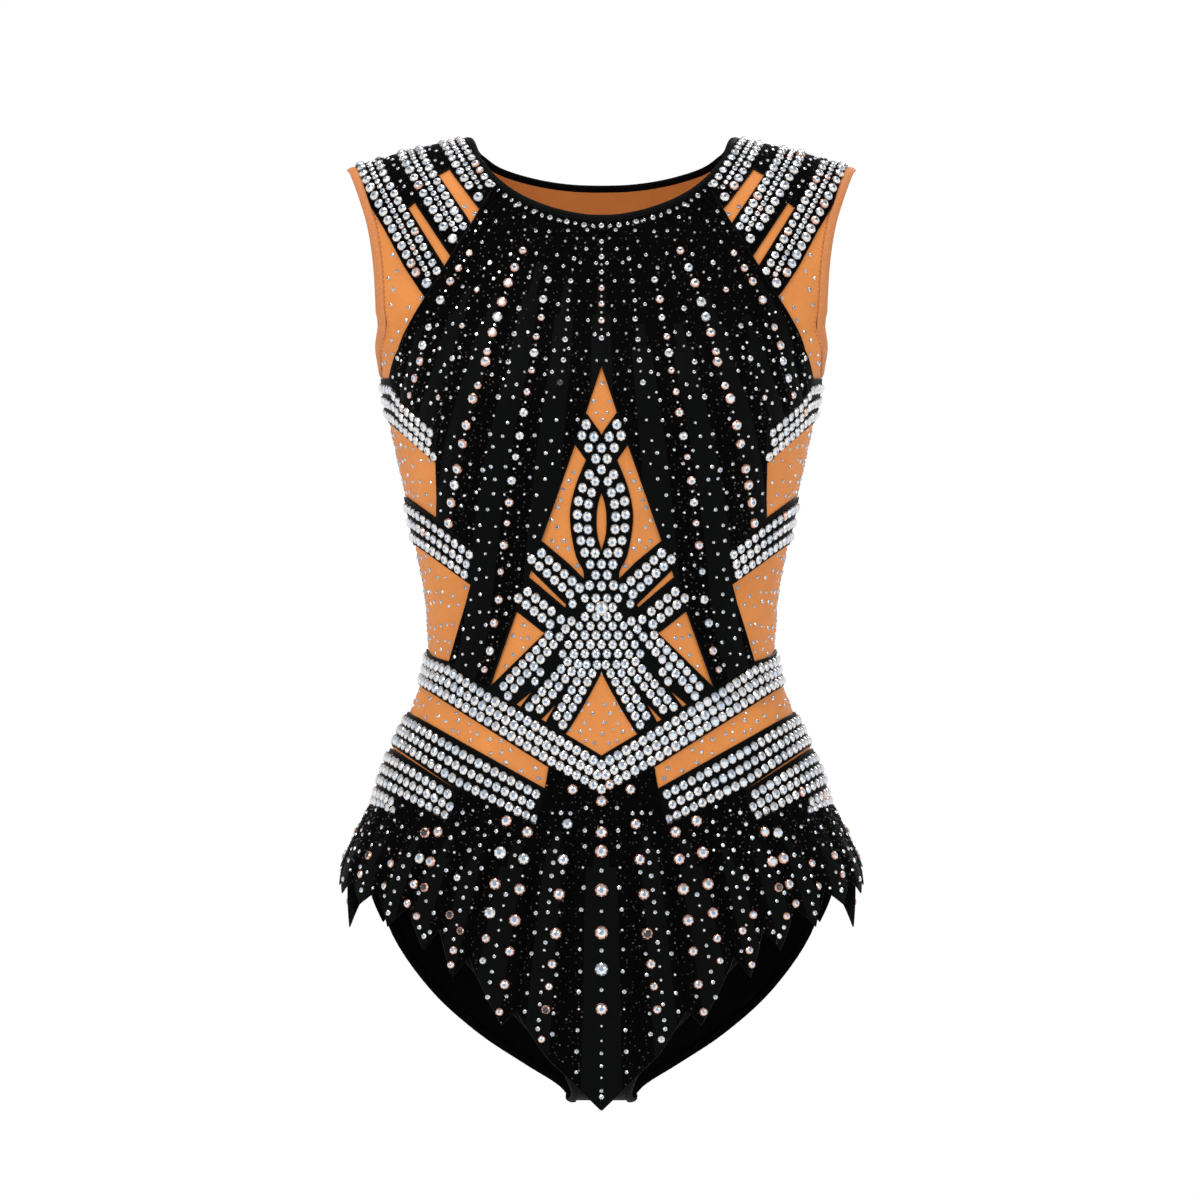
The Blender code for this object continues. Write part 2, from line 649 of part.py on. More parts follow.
def yokes():
    """The shoulder pieces: three straps that leave two windows of mesh, and a plain end at the back."""
    _, front_seam, _, back_seam = neck_lines()
    raglan = pattern_point(BODY_SECTIONS, *RAGLAN_NECK)
    neck = [point for point in front_seam if point[0] > raglan[0] + CORNER_ANGLE]
    front = neck + [raglan]
    front += seen((RAGLAN_NECK,) + INNER_WINDOW + OUTER_WINDOW + (RAGLAN_LOW,) + YOKE_OUTER)[1:]
    front.append(ridge(YOKE_RIDGE_X))
    back_edge = [point for point in back_seam if point[1] > YOKE_BACK_NECK_STATION]
    back = back_edge + seen(YOKE_BACK_HEM, back=True)
    back.append(ridge(YOKE_RIDGE_X, True))
    for name, side in SIDES:
        piece("yoke_" + name, front, "black_velvet", OVER, ring_creases(0, SIDE_ANGLE), side)
        piece("yoke_back_" + name, back, "black_velvet", OVER, ring_creases(SIDE_ANGLE, BACK_ANGLE), side)


def side_bands():
    """The two slanting crystal bands at each side, from the side seam to the bodice."""
    chest = [(SIDE_ANGLE, CHEST_BAND_SIDE[0])]
    chest += seen((BODICE_SIDE[-1],) + CHEST_BAND_TOP + (CHEST_BAND_END, CHEST_BAND_LOW))
    chest.append((SIDE_ANGLE, CHEST_BAND_SIDE[1]))
    rib = [(SIDE_ANGLE, RIB_BAND_SIDE[0])]
    rib += seen((RIB_BAND_OUTER, RIB_BAND_INNER, RIB_BAND_TOP, RIB_BAND_END, RIB_BAND_LOW))
    rib.append((SIDE_ANGLE, RIB_BAND_SIDE[1]))
    creases = ring_creases(0, SIDE_ANGLE)
    for name, side in SIDES:
        piece("chest_band_" + name, chest, "crystal_band", OVER, creases, side)
        piece("rib_band_" + name, rib, "crystal_band", OVER, creases, side)


def belt_outline(line, side_edge, lower, side_angle=SIDE_ANGLE):
    """A belt's outline: along its upper line to the side, down, and back along its lower line."""
    outline = seen(line) + [(side_angle, side_edge[0]), (side_angle, side_edge[1])]
    return outline + seen(lower + line[:1])[:-1]


def belts():
    """The pointed waist belt and the three bands below it, and their plain run round the back."""
    creases = ring_creases(0, SIDE_ANGLE)
    waist = belt_outline(WAIST_BELT_LINE, WAIST_BELT_SIDE, WAIST_BELT_LOWER)
    piece("waist_belt_front", waist, "crystal_band", OVER, creases)
    hip = belt_outline(HIP_BELT_LINE, HIP_BELT_SIDE, HIP_BELT_LOWER)
    band = belt_outline(HIP_BAND_LINE, HIP_BAND_SIDE, HIP_BAND_LOWER)
    tab = belt_outline(HIP_TAB_LINE, HIP_TAB_SIDE, HIP_TAB_LOWER, HIP_TAB_SIDE_ANGLE)
    for name, side in SIDES:
        piece("hip_belt_" + name, hip, "crystal_band", OVER, creases, side)
        piece("hip_band_" + name, band, "crystal_band", OVER, creases, side)
        piece("hip_tab_" + name, tab, "crystal_band", OVER, creases, side)
    creases = ring_creases(SIDE_ANGLE, BACK_ANGLE)
    for name, (top, low) in (
        ("waist_belt_back", WAIST_BELT_SIDE),
        ("hip_belt_back", HIP_BELT_SIDE),
        ("hip_band_back", HIP_BAND_SIDE),
    ):
        line = [(SIDE_ANGLE, top), (BACK_ANGLE, top - BELT_BACK_FALL)]
        line += [(BACK_ANGLE, low - BELT_BACK_FALL), (SIDE_ANGLE, low)]
        piece(name, line, "crystal_band", OVER, creases)


def motif():
    """The crossed straps in the opening of the A, with the mesh showing in their windows."""
    straps = MOTIF_UPPER_STRAP + MOTIF_SLIT + MOTIF_LOWER_STRAP
    outline = seen(MOTIF_TOP + MOTIF_LOOP + straps + MOTIF_RAYS) + seen(MOTIF_WINDOWS)
    piece("motif", outline, "crystal_band", OVER, ring_creases(0, SIDE_ANGLE), pieced=True)


# The brief and its skirt


def brief():
    """The black brief below the mesh, front and back, meeting at the side and crotch seams."""
    _, front_leg, _, back_leg = leg_lines()
    hem = [(0.0, MESH_HEM_CENTRE), (SIDE_ANGLE, MESH_HEM_SIDE)]
    front = hem + front_leg + [(0.0, CROTCH_STATION)]
    piece("brief_front", front, "black_satin", UNDER, ring_creases(0, SIDE_ANGLE))
    hem = [(BACK_ANGLE, MESH_HEM_SIDE), (SIDE_ANGLE, MESH_HEM_SIDE)]
    back = hem + back_leg + [(BACK_ANGLE, CROTCH_STATION)]
    piece("brief_back", back, "black_satin", UNDER, ring_creases(SIDE_ANGLE, BACK_ANGLE))


def fold_angle(petal, station):
    """The angle of a petal's outer valley at a station: a straight fold from the belt to the hem."""
    _, _, low_angle, low_station, top_angle = PETALS[petal]
    share = (station - low_station) / (SKIRT_PLEAT_TOP - low_station)
    return low_angle + (top_angle - low_angle) * share


def petal_bounds(angle, station):
    """The two valleys on either side of a point of the skirt."""
    inner = -fold_angle(0, station)
    for petal in range(len(PETALS)):
        outer = fold_angle(petal, station)
        if angle <= outer:
            return inner, outer
        inner = outer
    return inner, outer


def skirt_pleat(angle, station, outer):
    """Each petal stands proud of the valleys beside it, more so towards the hem."""
    low, high = petal_bounds(angle, station)
    share = min(max((angle - low) / max(high - low, 1e-6), 0.0), 1.0)
    crown = 1 - abs(2 * share - 1) ** 2.5
    depth = min(max((SKIRT_PLEAT_TOP - station) / SKIRT_PLEAT_RUN, 0.0), 1.0)
    return crown * (SKIRT_PLEAT_SHALLOW + (SKIRT_PLEAT_DEEP - SKIRT_PLEAT_SHALLOW) * depth)


def skirt_folds(first, last):
    """Creases along the valleys and the crowns of the petals."""
    creases = []
    for petal in range(first, last):
        for share in (0.0, 0.25, 0.5, 0.75):
            ends = []
            for station in (SKIRT_PLEAT_TOP, PETALS[petal][3]):
                inner = fold_angle(petal - 1, station) if petal else -fold_angle(0, station)
                ends.append(inner + (fold_angle(petal, station) - inner) * share)
            run = PETALS[petal][3] - SKIRT_PLEAT_TOP
            if ends[0] > 0.5:
                creases.append(((ends[0], SKIRT_PLEAT_TOP), ((ends[1] - ends[0]) / run, 1.0)))
    return creases


def hem_line(first, last):
    """The points of the hem from one petal's tip to another's outer valley."""
    line = []
    for tip_angle, tip_station, valley_angle, valley_station, _ in PETALS[first:last]:
        line += [(tip_angle, tip_station), (valley_angle, valley_station)]
    return line


def skirt():
    """The pleated skirt: its front hangs from the belts' lower edges and its back from the last band."""
    levels = level_creases(SKIRT_LEVELS)
    tab_low = HIP_TAB_SIDE[1] - SKIRT_TAB_CLEARANCE
    seam = fold_angle(SKIRT_SEAM_PETAL - 1, tab_low)
    steps = WAIST_BELT_LOWER[::-1][:2] + (HIP_BELT_LINE[1], HIP_BELT_LINE[0], HIP_BELT_LOWER[1])
    steps += (HIP_BAND_LINE[0], HIP_BAND_LOWER[1], HIP_TAB_LINE[0], SKIRT_TAB_CORNER)
    top = [point for point in seen(steps, SKIRT_SECTIONS) if point[0] < seam - 1]
    front = hem_line(0, SKIRT_SEAM_PETAL) + [(seam, tab_low)] + top[::-1]
    creases = levels + skirt_folds(0, SKIRT_SEAM_PETAL)
    cloth = {"table": SKIRT_SECTIONS, "relief": skirt_pleat}
    piece("skirt_front", front, "black_velvet", OVER, creases, **cloth)
    low = HIP_BAND_SIDE[1]
    back = [(seam, low - 2 * SEAM_HALF_GAP), (seam, tab_low), PETALS[SKIRT_SEAM_PETAL - 1][2:4]]
    back += hem_line(SKIRT_SEAM_PETAL, len(PETALS))[:-1]
    back.append((BACK_ANGLE, low - BELT_BACK_FALL))
    creases = levels + skirt_folds(SKIRT_SEAM_PETAL, len(PETALS))
    piece("skirt_back", back, "black_velvet", OVER, creases, **cloth)


def main():
    for old in list(bpy.data.objects):
        bpy.data.objects.remove(old)
    bpy.context.scene.collection.children.link(bpy.data.collections.new("leotard"))
    mesh_body()
    bindings()
    bodice()
    yokes()
    side_bands()
    belts()
    motif()
    brief()
    skirt()


main()
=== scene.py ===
"""The looks of a competition leotard: net, gathered velvet, pleated skirt, bound edges and glass stones.

Blender 4.5 script, laid out as an add-on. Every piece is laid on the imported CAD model, in metres.
The front faces -Y, +X is the wearer's left and +Z is up.

The cloth is drawn flat in pattern coordinates, as in the CAD source: the angle round the body in
degrees (0 at the centre front, 90 at the wearer's left side seam, 180 at the centre back) and the
station along the body in millimetres. Sizes in the tables are millimetres, and places are given as
seen from straight in front, the distance from the centre line first and the height second.
"""

import itertools
import math

import bmesh
import bpy
import numpy as np
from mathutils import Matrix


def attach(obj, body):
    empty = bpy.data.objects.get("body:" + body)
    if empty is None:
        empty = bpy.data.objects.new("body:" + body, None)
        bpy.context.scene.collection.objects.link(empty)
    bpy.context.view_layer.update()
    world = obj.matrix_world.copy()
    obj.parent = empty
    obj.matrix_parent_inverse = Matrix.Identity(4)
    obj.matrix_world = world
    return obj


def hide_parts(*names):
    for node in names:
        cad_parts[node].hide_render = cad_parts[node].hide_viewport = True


bl_info = {
    "name": "Competition leotard",
    "version": (1, 0, 0),
    "blender": (4, 5, 0),
    "location": "3D View > Sidebar > Leotard",
    "description": "Lays net, gathered velvet, bound edges and glass stones on a leotard's CAD frame",
    "category": "Object",
}

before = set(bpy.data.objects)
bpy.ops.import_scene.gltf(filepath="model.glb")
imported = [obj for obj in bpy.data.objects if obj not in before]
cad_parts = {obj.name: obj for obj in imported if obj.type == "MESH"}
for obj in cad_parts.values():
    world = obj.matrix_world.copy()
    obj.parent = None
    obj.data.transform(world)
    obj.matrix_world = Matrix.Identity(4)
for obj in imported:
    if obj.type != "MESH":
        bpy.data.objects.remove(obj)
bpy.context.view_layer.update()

MM = 0.001
DEGREE_MM = 2.5
SIDE_ANGLE = 90.0
BACK_ANGLE = 180.0
CORNER_POWER = 2.3
SHOULDER_STATION = 59.0
CROTCH_STATION = -659.0
ARMPIT_STATION = -146.0

# How far a degree reaches round the figure, as a share of the half width there
DEGREE_SHARE = 0.0155

# An edge between faces that turn by more than this stays crisp
SHARP_TURN = math.radians(50)

# Heights of each layer over the figure: its inside and its outside
NET_LAYER = (0.25, 0.95)
BRIEF_LAYER = (0.2, 1.1)
OVER_LAYER = (1.3, 2.3)
NECK_TRIM = 4.0
ARM_TRIM = 5.0
LEG_TRIM = 5.0

# The bust cups that the darts give, with the stretch cloth bridging between them
CUP_DEPTH = 13.0
CUP_ANGLE = 34.0
CUP_ANGLE_SPREAD = 28.0
CUP_STATION = -172.0
CUP_STATION_SPREAD = 40.0

# The gathers of the bodice fan out from one point above the neckline
BODICE_FAN_STATION = 25.6
BODICE_FAN_RUN = 117.6
BODICE_PLEAT_ANGLE = 3.7
BODICE_FAN_LINES = 58

# The skirt's pleats deepen from the belt to the points
SKIRT_PLEAT_TOP = -420.0
SKIRT_PLEAT_RUN = 70.0
SKIRT_SEAM_PETAL = 9
SKIRT_TAB_CLEARANCE = 2.0
SKIRT_TAB_CORNER = (147.0, -444.5)

# station, height at the centre, drop at the side, half width, front depth, back depth, side's y
BODY_SECTIONS = (
    (59, 17.9, 31.6, 178, 0.2, 0.2, 6),
    (40, 16.5, 32, 178.5, 16, 18, 6),
    (20, 11.5, 32, 179, 32, 36, 6),
    (0, 2, 31, 179, 46, 52, 6),
    (-21, -13, 29, 178, 58, 66, 6),
    (-42, -32, 24, 177, 67, 76, 5.5),
    (-64, -55, 18, 175, 76, 83, 5),
    (-86, -80, 11, 171, 84, 88, 4.5),
    (-107, -105, 5, 166, 91, 91, 4),
    (-127, -127, 1.5, 158, 96, 93, 3.5),
    (-146, -146, 0, 149.3, 99, 93, 3),
    (-166.6, -166.6, 0, 145.9, 101, 93, 2.5),
    (-200.6, -200.6, 0, 139.1, 98, 91, 1.5),
    (-234.6, -234.6, 0, 131.6, 93, 88, 1),
    (-268.6, -268.6, 0, 124.8, 87, 84, 0.5),
    (-302.6, -302.6, 0, 118.7, 82, 81, 0),
    (-333, -333, 0, 116.6, 80, 80, 0),
    (-350, -350, 0, 118.7, 80.5, 82, 0.5),
    (-370.6, -370.6, 0, 126.1, 82, 88, 1),
    (-384.2, -384.2, 0, 131.6, 83.5, 92, 1.6),
    (-397.8, -397.8, 0, 138.4, 85, 97, 2.2),
    (-418.2, -418.2, 0, 147.2, 87, 104, 3),
    (-438.6, -438.6, 0, 153, 88, 109, 4),
    (-472, -472, 0, 158, 87.5, 112, 5),
    (-506, -506, 0, 159, 84, 109, 6),
    (-540, -540, 0, 153, 78, 101, 6.5),
    (-575, -575, 0, 134, 68, 85, 7),
    (-604, -604, 0, 100, 54, 65, 7.5),
    (-626, -626, 0, 60, 35, 42, 8),
    (-636, -634, 0, 42, 24, 28, 8),
    (-648, -639.6, 0, 29, 12, 14, 8),
    (-659, -642, 0, 22, 0.2, 0.2, 8),
)

# The skirt follows the hips and then hangs and flares clear of them. Same columns as above
SKIRT_SECTIONS = BODY_SECTIONS[18:23] + (
    (-455, -455, 0, 160.5, 89.8, 112, 4.5),
    (-472, -472, 0, 168.5, 91.5, 115.5, 5),
    (-485, -485, 0, 173.5, 92.5, 118, 5.4),
    (-502, -502, 0, 176.5, 93.5, 121, 6),
    (-526, -526, 0, 179, 94, 124, 6),
    (-557, -557, 0, 181, 94, 126, 6),
    (-588, -588, 0, 182, 92.5, 127, 6),
    (-620, -620, 0, 183, 90, 126, 6),
    (-655, -655, 0, 183, 86, 124, 6),
)

# Each petal of the skirt, centre front to centre back.
# tip angle, tip height, outer valley angle, outer valley height, valley's angle at the belt
PETALS = (
    (0, -646, 8.5, -620, 6),
    (11.9, -608.6, 18, -579.2, 12.5),
    (20.9, -588.5, 28.5, -543.2, 21),
    (31.6, -556.9, 35.3, -524.3, 28.5),
    (38.8, -538.9, 43.8, -510, 36.5),
    (49, -523.6, 52.5, -497.1, 46),
    (60, -508.6, 66.5, -492, 60),
    (73, -501.8, 79.5, -481, 75),
    (86, -484.8, 93, -472, 91),
    (100, -497, 106, -480, 106),
    (114.5, -526.3, 121, -497, 122),
    (129, -523.6, 134.5, -506, 136),
    (140, -538.9, 145, -522, 147),
    (150, -556.9, 154, -541, 156),
    (160, -588.5, 164, -574, 165.5),
    (169, -608.6, 172.5, -612, 174),
    (180, -640, 187.5, -612, 186),
)
FRONT_PETALS = range(SKIRT_SEAM_PETAL)
BACK_PETALS = range(SKIRT_SEAM_PETAL, len(PETALS))

# Edges of the pieces on the wearer's left, seen from the front: x, z
NECK_EDGE = ((82.6, -3.4), (71.1, -17), (55.4, -28.6), (35, -37.4), (14.6, -42.2), (0, -43.2))
BACK_NECK_EDGE = ((84, 2), (70, -8), (48, -15), (24, -19), (0, -20))
ARM_EDGE = ((164.2, -27.9), (158.1, -47.6), (154, -71.4), (152, -98.6), (150.8, -122.4))
BACK_ARM_EDGE = ((163, -27.9), (155, -50), (150, -74), (148.5, -100), (149, -124))
NECK_RIDGE_X = 89.4
ARM_RIDGE_X = 172.4
LEG_EDGE = (
    (150, -480), (122, -512), (80, -560), (50, -592), (36.4, -606.6),
    (26, -621), (20.5, -634), (20.5, -639.6),
)
BACK_LEG_EDGE = (
    (154, -488), (142, -530), (116, -568), (84, -597), (52, -618),
    (32, -630), (22.5, -637.5),
)
LEG_TOP_STATION = -465
CROTCH_EDGE_ANGLE = 80
CROTCH_SEAM_ANGLE = 50

RAGLAN_NECK = (71.1, -22.8)
RAGLAN_LOW = (118, -98.6)
BODICE_SIDE = ((123.4, -107.4), (132.3, -123.8), (137.4, -137.4), (141.1, -153))
APEX = (0, -143.5)
LEG_OF_A_OUTER = (101.2, -345.3)
LEG_OF_A_INNER = (75.5, -363.1)

# The slanting side bands: their corners, and the heights of their two edges at the side seam
CHEST_BAND_TOP = ((134.3, -165.6), (124.8, -174.1), (109.8, -187))
CHEST_BAND_END = (109.8, -209.8)
CHEST_BAND_LOW = (144.5, -178.8)
CHEST_BAND_SIDE = (-152.4, -178.8)
RIB_BAND_OUTER = (130, -233.2)
RIB_BAND_INNER = (109.7, -248.2)
RIB_BAND_TOP = (83.3, -270)
RIB_BAND_END = (86.7, -292)
RIB_BAND_LOW = (124, -264.4)
RIB_BAND_SIDE = (-232.6, -264.4)

# The belts: upper line from the centre outward, side heights, lower line back from the side
WAIST_BELT_LINE = ((0, -408.5), LEG_OF_A_INNER, LEG_OF_A_OUTER)
WAIST_BELT_SIDE = (-336.6, -359.7)
WAIST_BELT_LOWER = ((121, -360.7), (35, -415), (0, -434.5))
HIP_BELT_LINE = ((43.9, -455.6), (37.7, -430.8), (129, -380.1))
HIP_BELT_SIDE = (-379.7, -401.6)
HIP_BELT_LOWER = ((137.5, -402.8), (96.2, -430.4))
HIP_BAND_LINE = ((101.7, -453.6), (96.8, -432), (138.5, -405.8))
HIP_BAND_SIDE = (-404.6, -428.6)
HIP_BAND_LOWER = ((148, -429.8), (135, -436.6))
HIP_TAB_LINE = ((137.6, -449.5), (135.6, -438), (148.5, -430.8))
HIP_TAB_SIDE = (-429.6, -441.5)
HIP_TAB_LOWER = ((151.5, -442.3),)
HIP_TAB_SIDE_ANGLE = 91
BELT_BACK_FALL = 14

# The shoulder piece: its two windows, its outer edge, and its plain end behind the shoulder
INNER_WINDOW = ((82.5, -37.8), (102.5, -11), (110.8, -15.6), (88.3, -48.7))
OUTER_WINDOW = ((101.3, -70.3), (125.7, -33.3), (131.1, -37.7), (105.9, -78.2))
YOKE_OUTER = ((132.3, -76.8), (145.2, -52.4), (155.4, -35.4))
YOKE_RIDGE_X = 166
YOKE_BACK_NECK_STATION = -17
YOKE_BACK_HEM = ((88, -34), (150, -34))

# Where the net ends and the brief begins
NET_HEM_SIDE = -437
NET_HEM_CENTRE = -480

# The crossed straps of the centre motif, half of them, from the top down the outer side and back
MOTIF_TOP = ((0, -191.8), (11, -176.5), (18, -196))
MOTIF_LOOP = (
    (9.7, -207.9), (16.5, -224.8), (20.2, -241.1), (19.9, -255), (16.5, -272.5), (11.6, -282.2),
    (11, -289.9), (22.9, -277.9),
)
MOTIF_UPPER_STRAP = ((40.8, -262.8), (47.3, -281.2))
MOTIF_SLIT = ((23.1, -305.3), (24.3, -308.7))
MOTIF_LOWER_STRAP = ((49.3, -287.2), (56.8, -309.4))
MOTIF_RAYS = (
    (37.2, -325), (75.5, -363.1), (58.1, -373.2), (41.8, -359.4), (54.1, -375.6), (41.1, -383.4),
    (26.2, -367.2), (37.1, -385.8), (24.8, -393.2),
)
MOTIF_WINDOWS = ((0, -349.9), (0, -270.4), (4.1, -248.9), (0, -227.8))

# Soft creases that worn stretch cloth shows, on every layer alike.
# angle, station, slope in degrees from level, half length, half width, height
WORN_CREASES = (
    (66, -131, -52, 20, 4, 0.9),
    (-70, -137, 48, 24, 4.5, 0.8),
    (78, -158, -20, 22, 4, -0.7),
    (-80, -166, 16, 26, 4, -0.6),
    (84, -318, 6, 34, 5, 0.9),
    (74, -333, -8, 26, 4.5, -0.8),
    (-82, -322, -5, 30, 4.5, 0.8),
    (-76, -336, 9, 30, 5, -0.7),
    (100, -326, -4, 30, 4.5, 0.8),
    (-104, -331, 5, 34, 5, 0.9),
    (128, -298, -14, 40, 5.5, 1),
    (-132, -304, 12, 36, 5, 0.9),
    (158, -318, -6, 46, 5.5, 1.1),
    (-160, -334, 7, 42, 5.5, 1),
    (176, -302, 3, 38, 5, -0.9),
    (138, -345, -10, 34, 5, -0.8),
    (112, -186, -28, 34, 5, 0.9),
    (-116, -192, 30, 32, 5, 0.8),
    (146, -96, 62, 34, 5.5, 0.9),
    (-142, -104, -58, 38, 5.5, 0.9),
    (168, -150, 74, 40, 6, 0.7),
)

# Folds that draw the brief's cloth towards the crotch. Same columns
BRIEF_CREASES = (
    (150, -560, -52, 40, 5, 1.2),
    (166, -585, -66, 34, 4.5, 1.1),
    (-154, -566, 55, 36, 5, 1.1),
    (-170, -592, 70, 32, 4.5, 1),
    (16, -600, 66, 26, 3.5, 0.9),
    (-20, -606, -62, 24, 3.5, 0.9),
    (178, -520, 86, 50, 6, -1.4),
)

# Rows of stones on the shoulder straps, the large ones first: start, end, radius, pitch
STRAP_ROWS = (
    ((163.3, -9.3), (121, -87.6), 3.6, 7.3),
    ((150.4, -8.2), (110.4, -80.9), 3.2, 6.7),
    ((136.6, -0.5), (102.6, -56.8), 3.6, 7.3),
    ((123.6, 1.8), (92.8, -50.8), 3.3, 6.9),
    ((108.6, 7.6), (86, -28.4), 3.2, 6.8),
    ((97.8, 10), (75.6, -22), 3, 6.5),
    ((157, -8.6), (116.6, -82.9), 2.2, 4.5),
    ((130.2, 0.6), (98.4, -52.6), 2.2, 4.5),
    ((103.3, 8.8), (81.6, -24.2), 2.1, 4.4),
)
STRAP_END_STONES = ((117.1, -88.9), (99.9, -59.1), (82.8, -31))
STRAP_BACK_ROWS = (163, 157, 151, 136, 130, 124, 108, 102.5, 97)

# Single stones of the motif's crossing and loop, half of them, from the top down
MOTIF_LOOP_STONES = (
    (10.4, -184), (13.3, -191.2), (5.2, -192.2), (8.7, -199.4), (0, -199.6), (3.9, -206.8),
    (0, -214), (8.2, -217.4), (4.3, -222), (12.7, -226.4), (6.6, -229.6), (15.4, -235.4),
    (8.7, -237.4), (16.1, -244.4), (9.5, -245.9), (15.6, -253.4), (9.1, -254.4), (13.7, -262),
    (7.2, -262.9), (11.2, -270.2), (4.2, -270.6), (7.6, -278.2), (0, -278), (3.9, -285.4),
    (0, -292.8), (8, -292.4),
)
MOTIF_RAY_LINES = (
    ((9, -296), (22, -314), (38, -335), (53, -351.5), (66.8, -368.2)),
    ((3, -326), (24, -350.8), (47.6, -379.5)),
    ((4, -342), (17, -365), (31, -389.5)),
)
MOTIF_STRAP_LINES = (((44, -272), (17, -297)), ((53, -298.3), (30.7, -317)))
MOTIF_CENTRE = (0, -308)

# Columns of larger stones on the bodice: the fan line as a share of the run, then their stations
BODICE_COLUMNS = (
    (0, 1.9, (-70, -79, -88, -97, -106, -116, -127)),
    (0.058, 1.6, (-68, -80, -93, -104, -115, -128, -142, -157)),
    (
        0.103,
        2.5,
        (-92, -103, -114, -126, -137, -149, -163, -176, -191, -205)
        + (-221, -236, -250, -265, -283, -302, -318, -337, -350),
    ),
    (0.142, 1.6, (-76, -90, -108, -124, -143, -166, -190, -214, -240, -268)),
    (
        0.177,
        2.9,
        (-74, -84, -93, -104, -113, -123, -136, -143, -159, -167)
        + (-184, -196, -213, -224, -236, -250, -262, -276, -290),
    ),
    (0.235, 1.7, (-62, -80, -96, -118, -140, -166, -194, -226)),
    (0.3, 2.6, (-73, -82, -90, -101, -118, -130, -141, -153, -164, -176)),
    (0.36, 1.6, (-84, -100, -118, -138)),
)

# Larger stones of the front skirt, half of them: distance from the centre line, height, radius
SKIRT_STONES = (
    (0, -438.6, 2.9), (0, -459.7, 3.3), (0, -472.6, 3.5), (0, -498.4, 3.6),
    (0, -527, 3.7), (0, -551.5, 3.6), (0, -578, 3.3), (19.4, -430.4, 2.8),
    (22.8, -454.2, 2.9), (25.5, -478, 3), (28.2, -501.2, 3.1), (30.5, -527.7, 3.1),
    (33, -548.1, 2.6), (35, -563, 2.2), (37.1, -578.4, 2.4), (39.8, -598.4, 2),
    (49.3, -459.7, 2.9), (51.7, -477.7, 3), (54.4, -497.8, 3.2), (57.6, -518.8, 3.2),
    (60.9, -539.6, 2.6), (64.4, -561.7, 2.6), (67.7, -580, 2.1), (63.6, -452.2, 3),
    (67.3, -473.6, 3.3), (70.7, -494.4, 3.3), (74, -513.9, 3.1), (76.7, -531.1, 2.4),
    (78.8, -546, 1.9), (95.8, -490.3, 2), (100.7, -515.4, 2.4), (93.5, -526, 2.2),
    (97.8, -539.2, 2.2), (99.3, -548.8, 1.9), (116.8, -461, 2.9), (109.1, -460, 3),
    (120.8, -478, 3), (113.2, -480.1, 3), (125.1, -495, 2.7), (116.9, -497.1, 2.6),
    (129.2, -508, 2.3), (122.1, -516.5, 2.1), (140.6, -481.4, 2.3), (144.8, -496.4, 2.1),
    (153.7, -477.2, 2.4), (158.8, -489.3, 2),
)


# The figure that the cloth lies on


def unit(vectors):
    """Rows of vectors brought to a length of one."""
    return vectors / np.maximum(np.linalg.norm(vectors, axis=1), 1e-6)[:, None]


def between(table, station):
    """The columns of a section table at a station, by a smooth cubic through its rows."""
    last = len(table) - 1
    row = 0
    while row < last - 1 and station < table[row + 1][0]:
        row += 1
    upper, lower = table[row], table[row + 1]
    before = table[max(row - 1, 0)]
    after = table[min(row + 2, last)]
    span = lower[0] - upper[0]
    t = min(max((station - upper[0]) / span, 0.0), 1.0)
    values = []
    for column in range(1, len(upper)):
        slope_in = (lower[column] - before[column]) / (lower[0] - before[0]) * span
        slope_out = (after[column] - upper[column]) / (after[0] - upper[0]) * span
        values.append(
            upper[column] * (2 * t**3 - 3 * t**2 + 1)
            + slope_in * (t**3 - 2 * t**2 + t)
            + lower[column] * (3 * t**2 - 2 * t**3)
            + slope_out * (t**3 - t**2)
        )
    return values


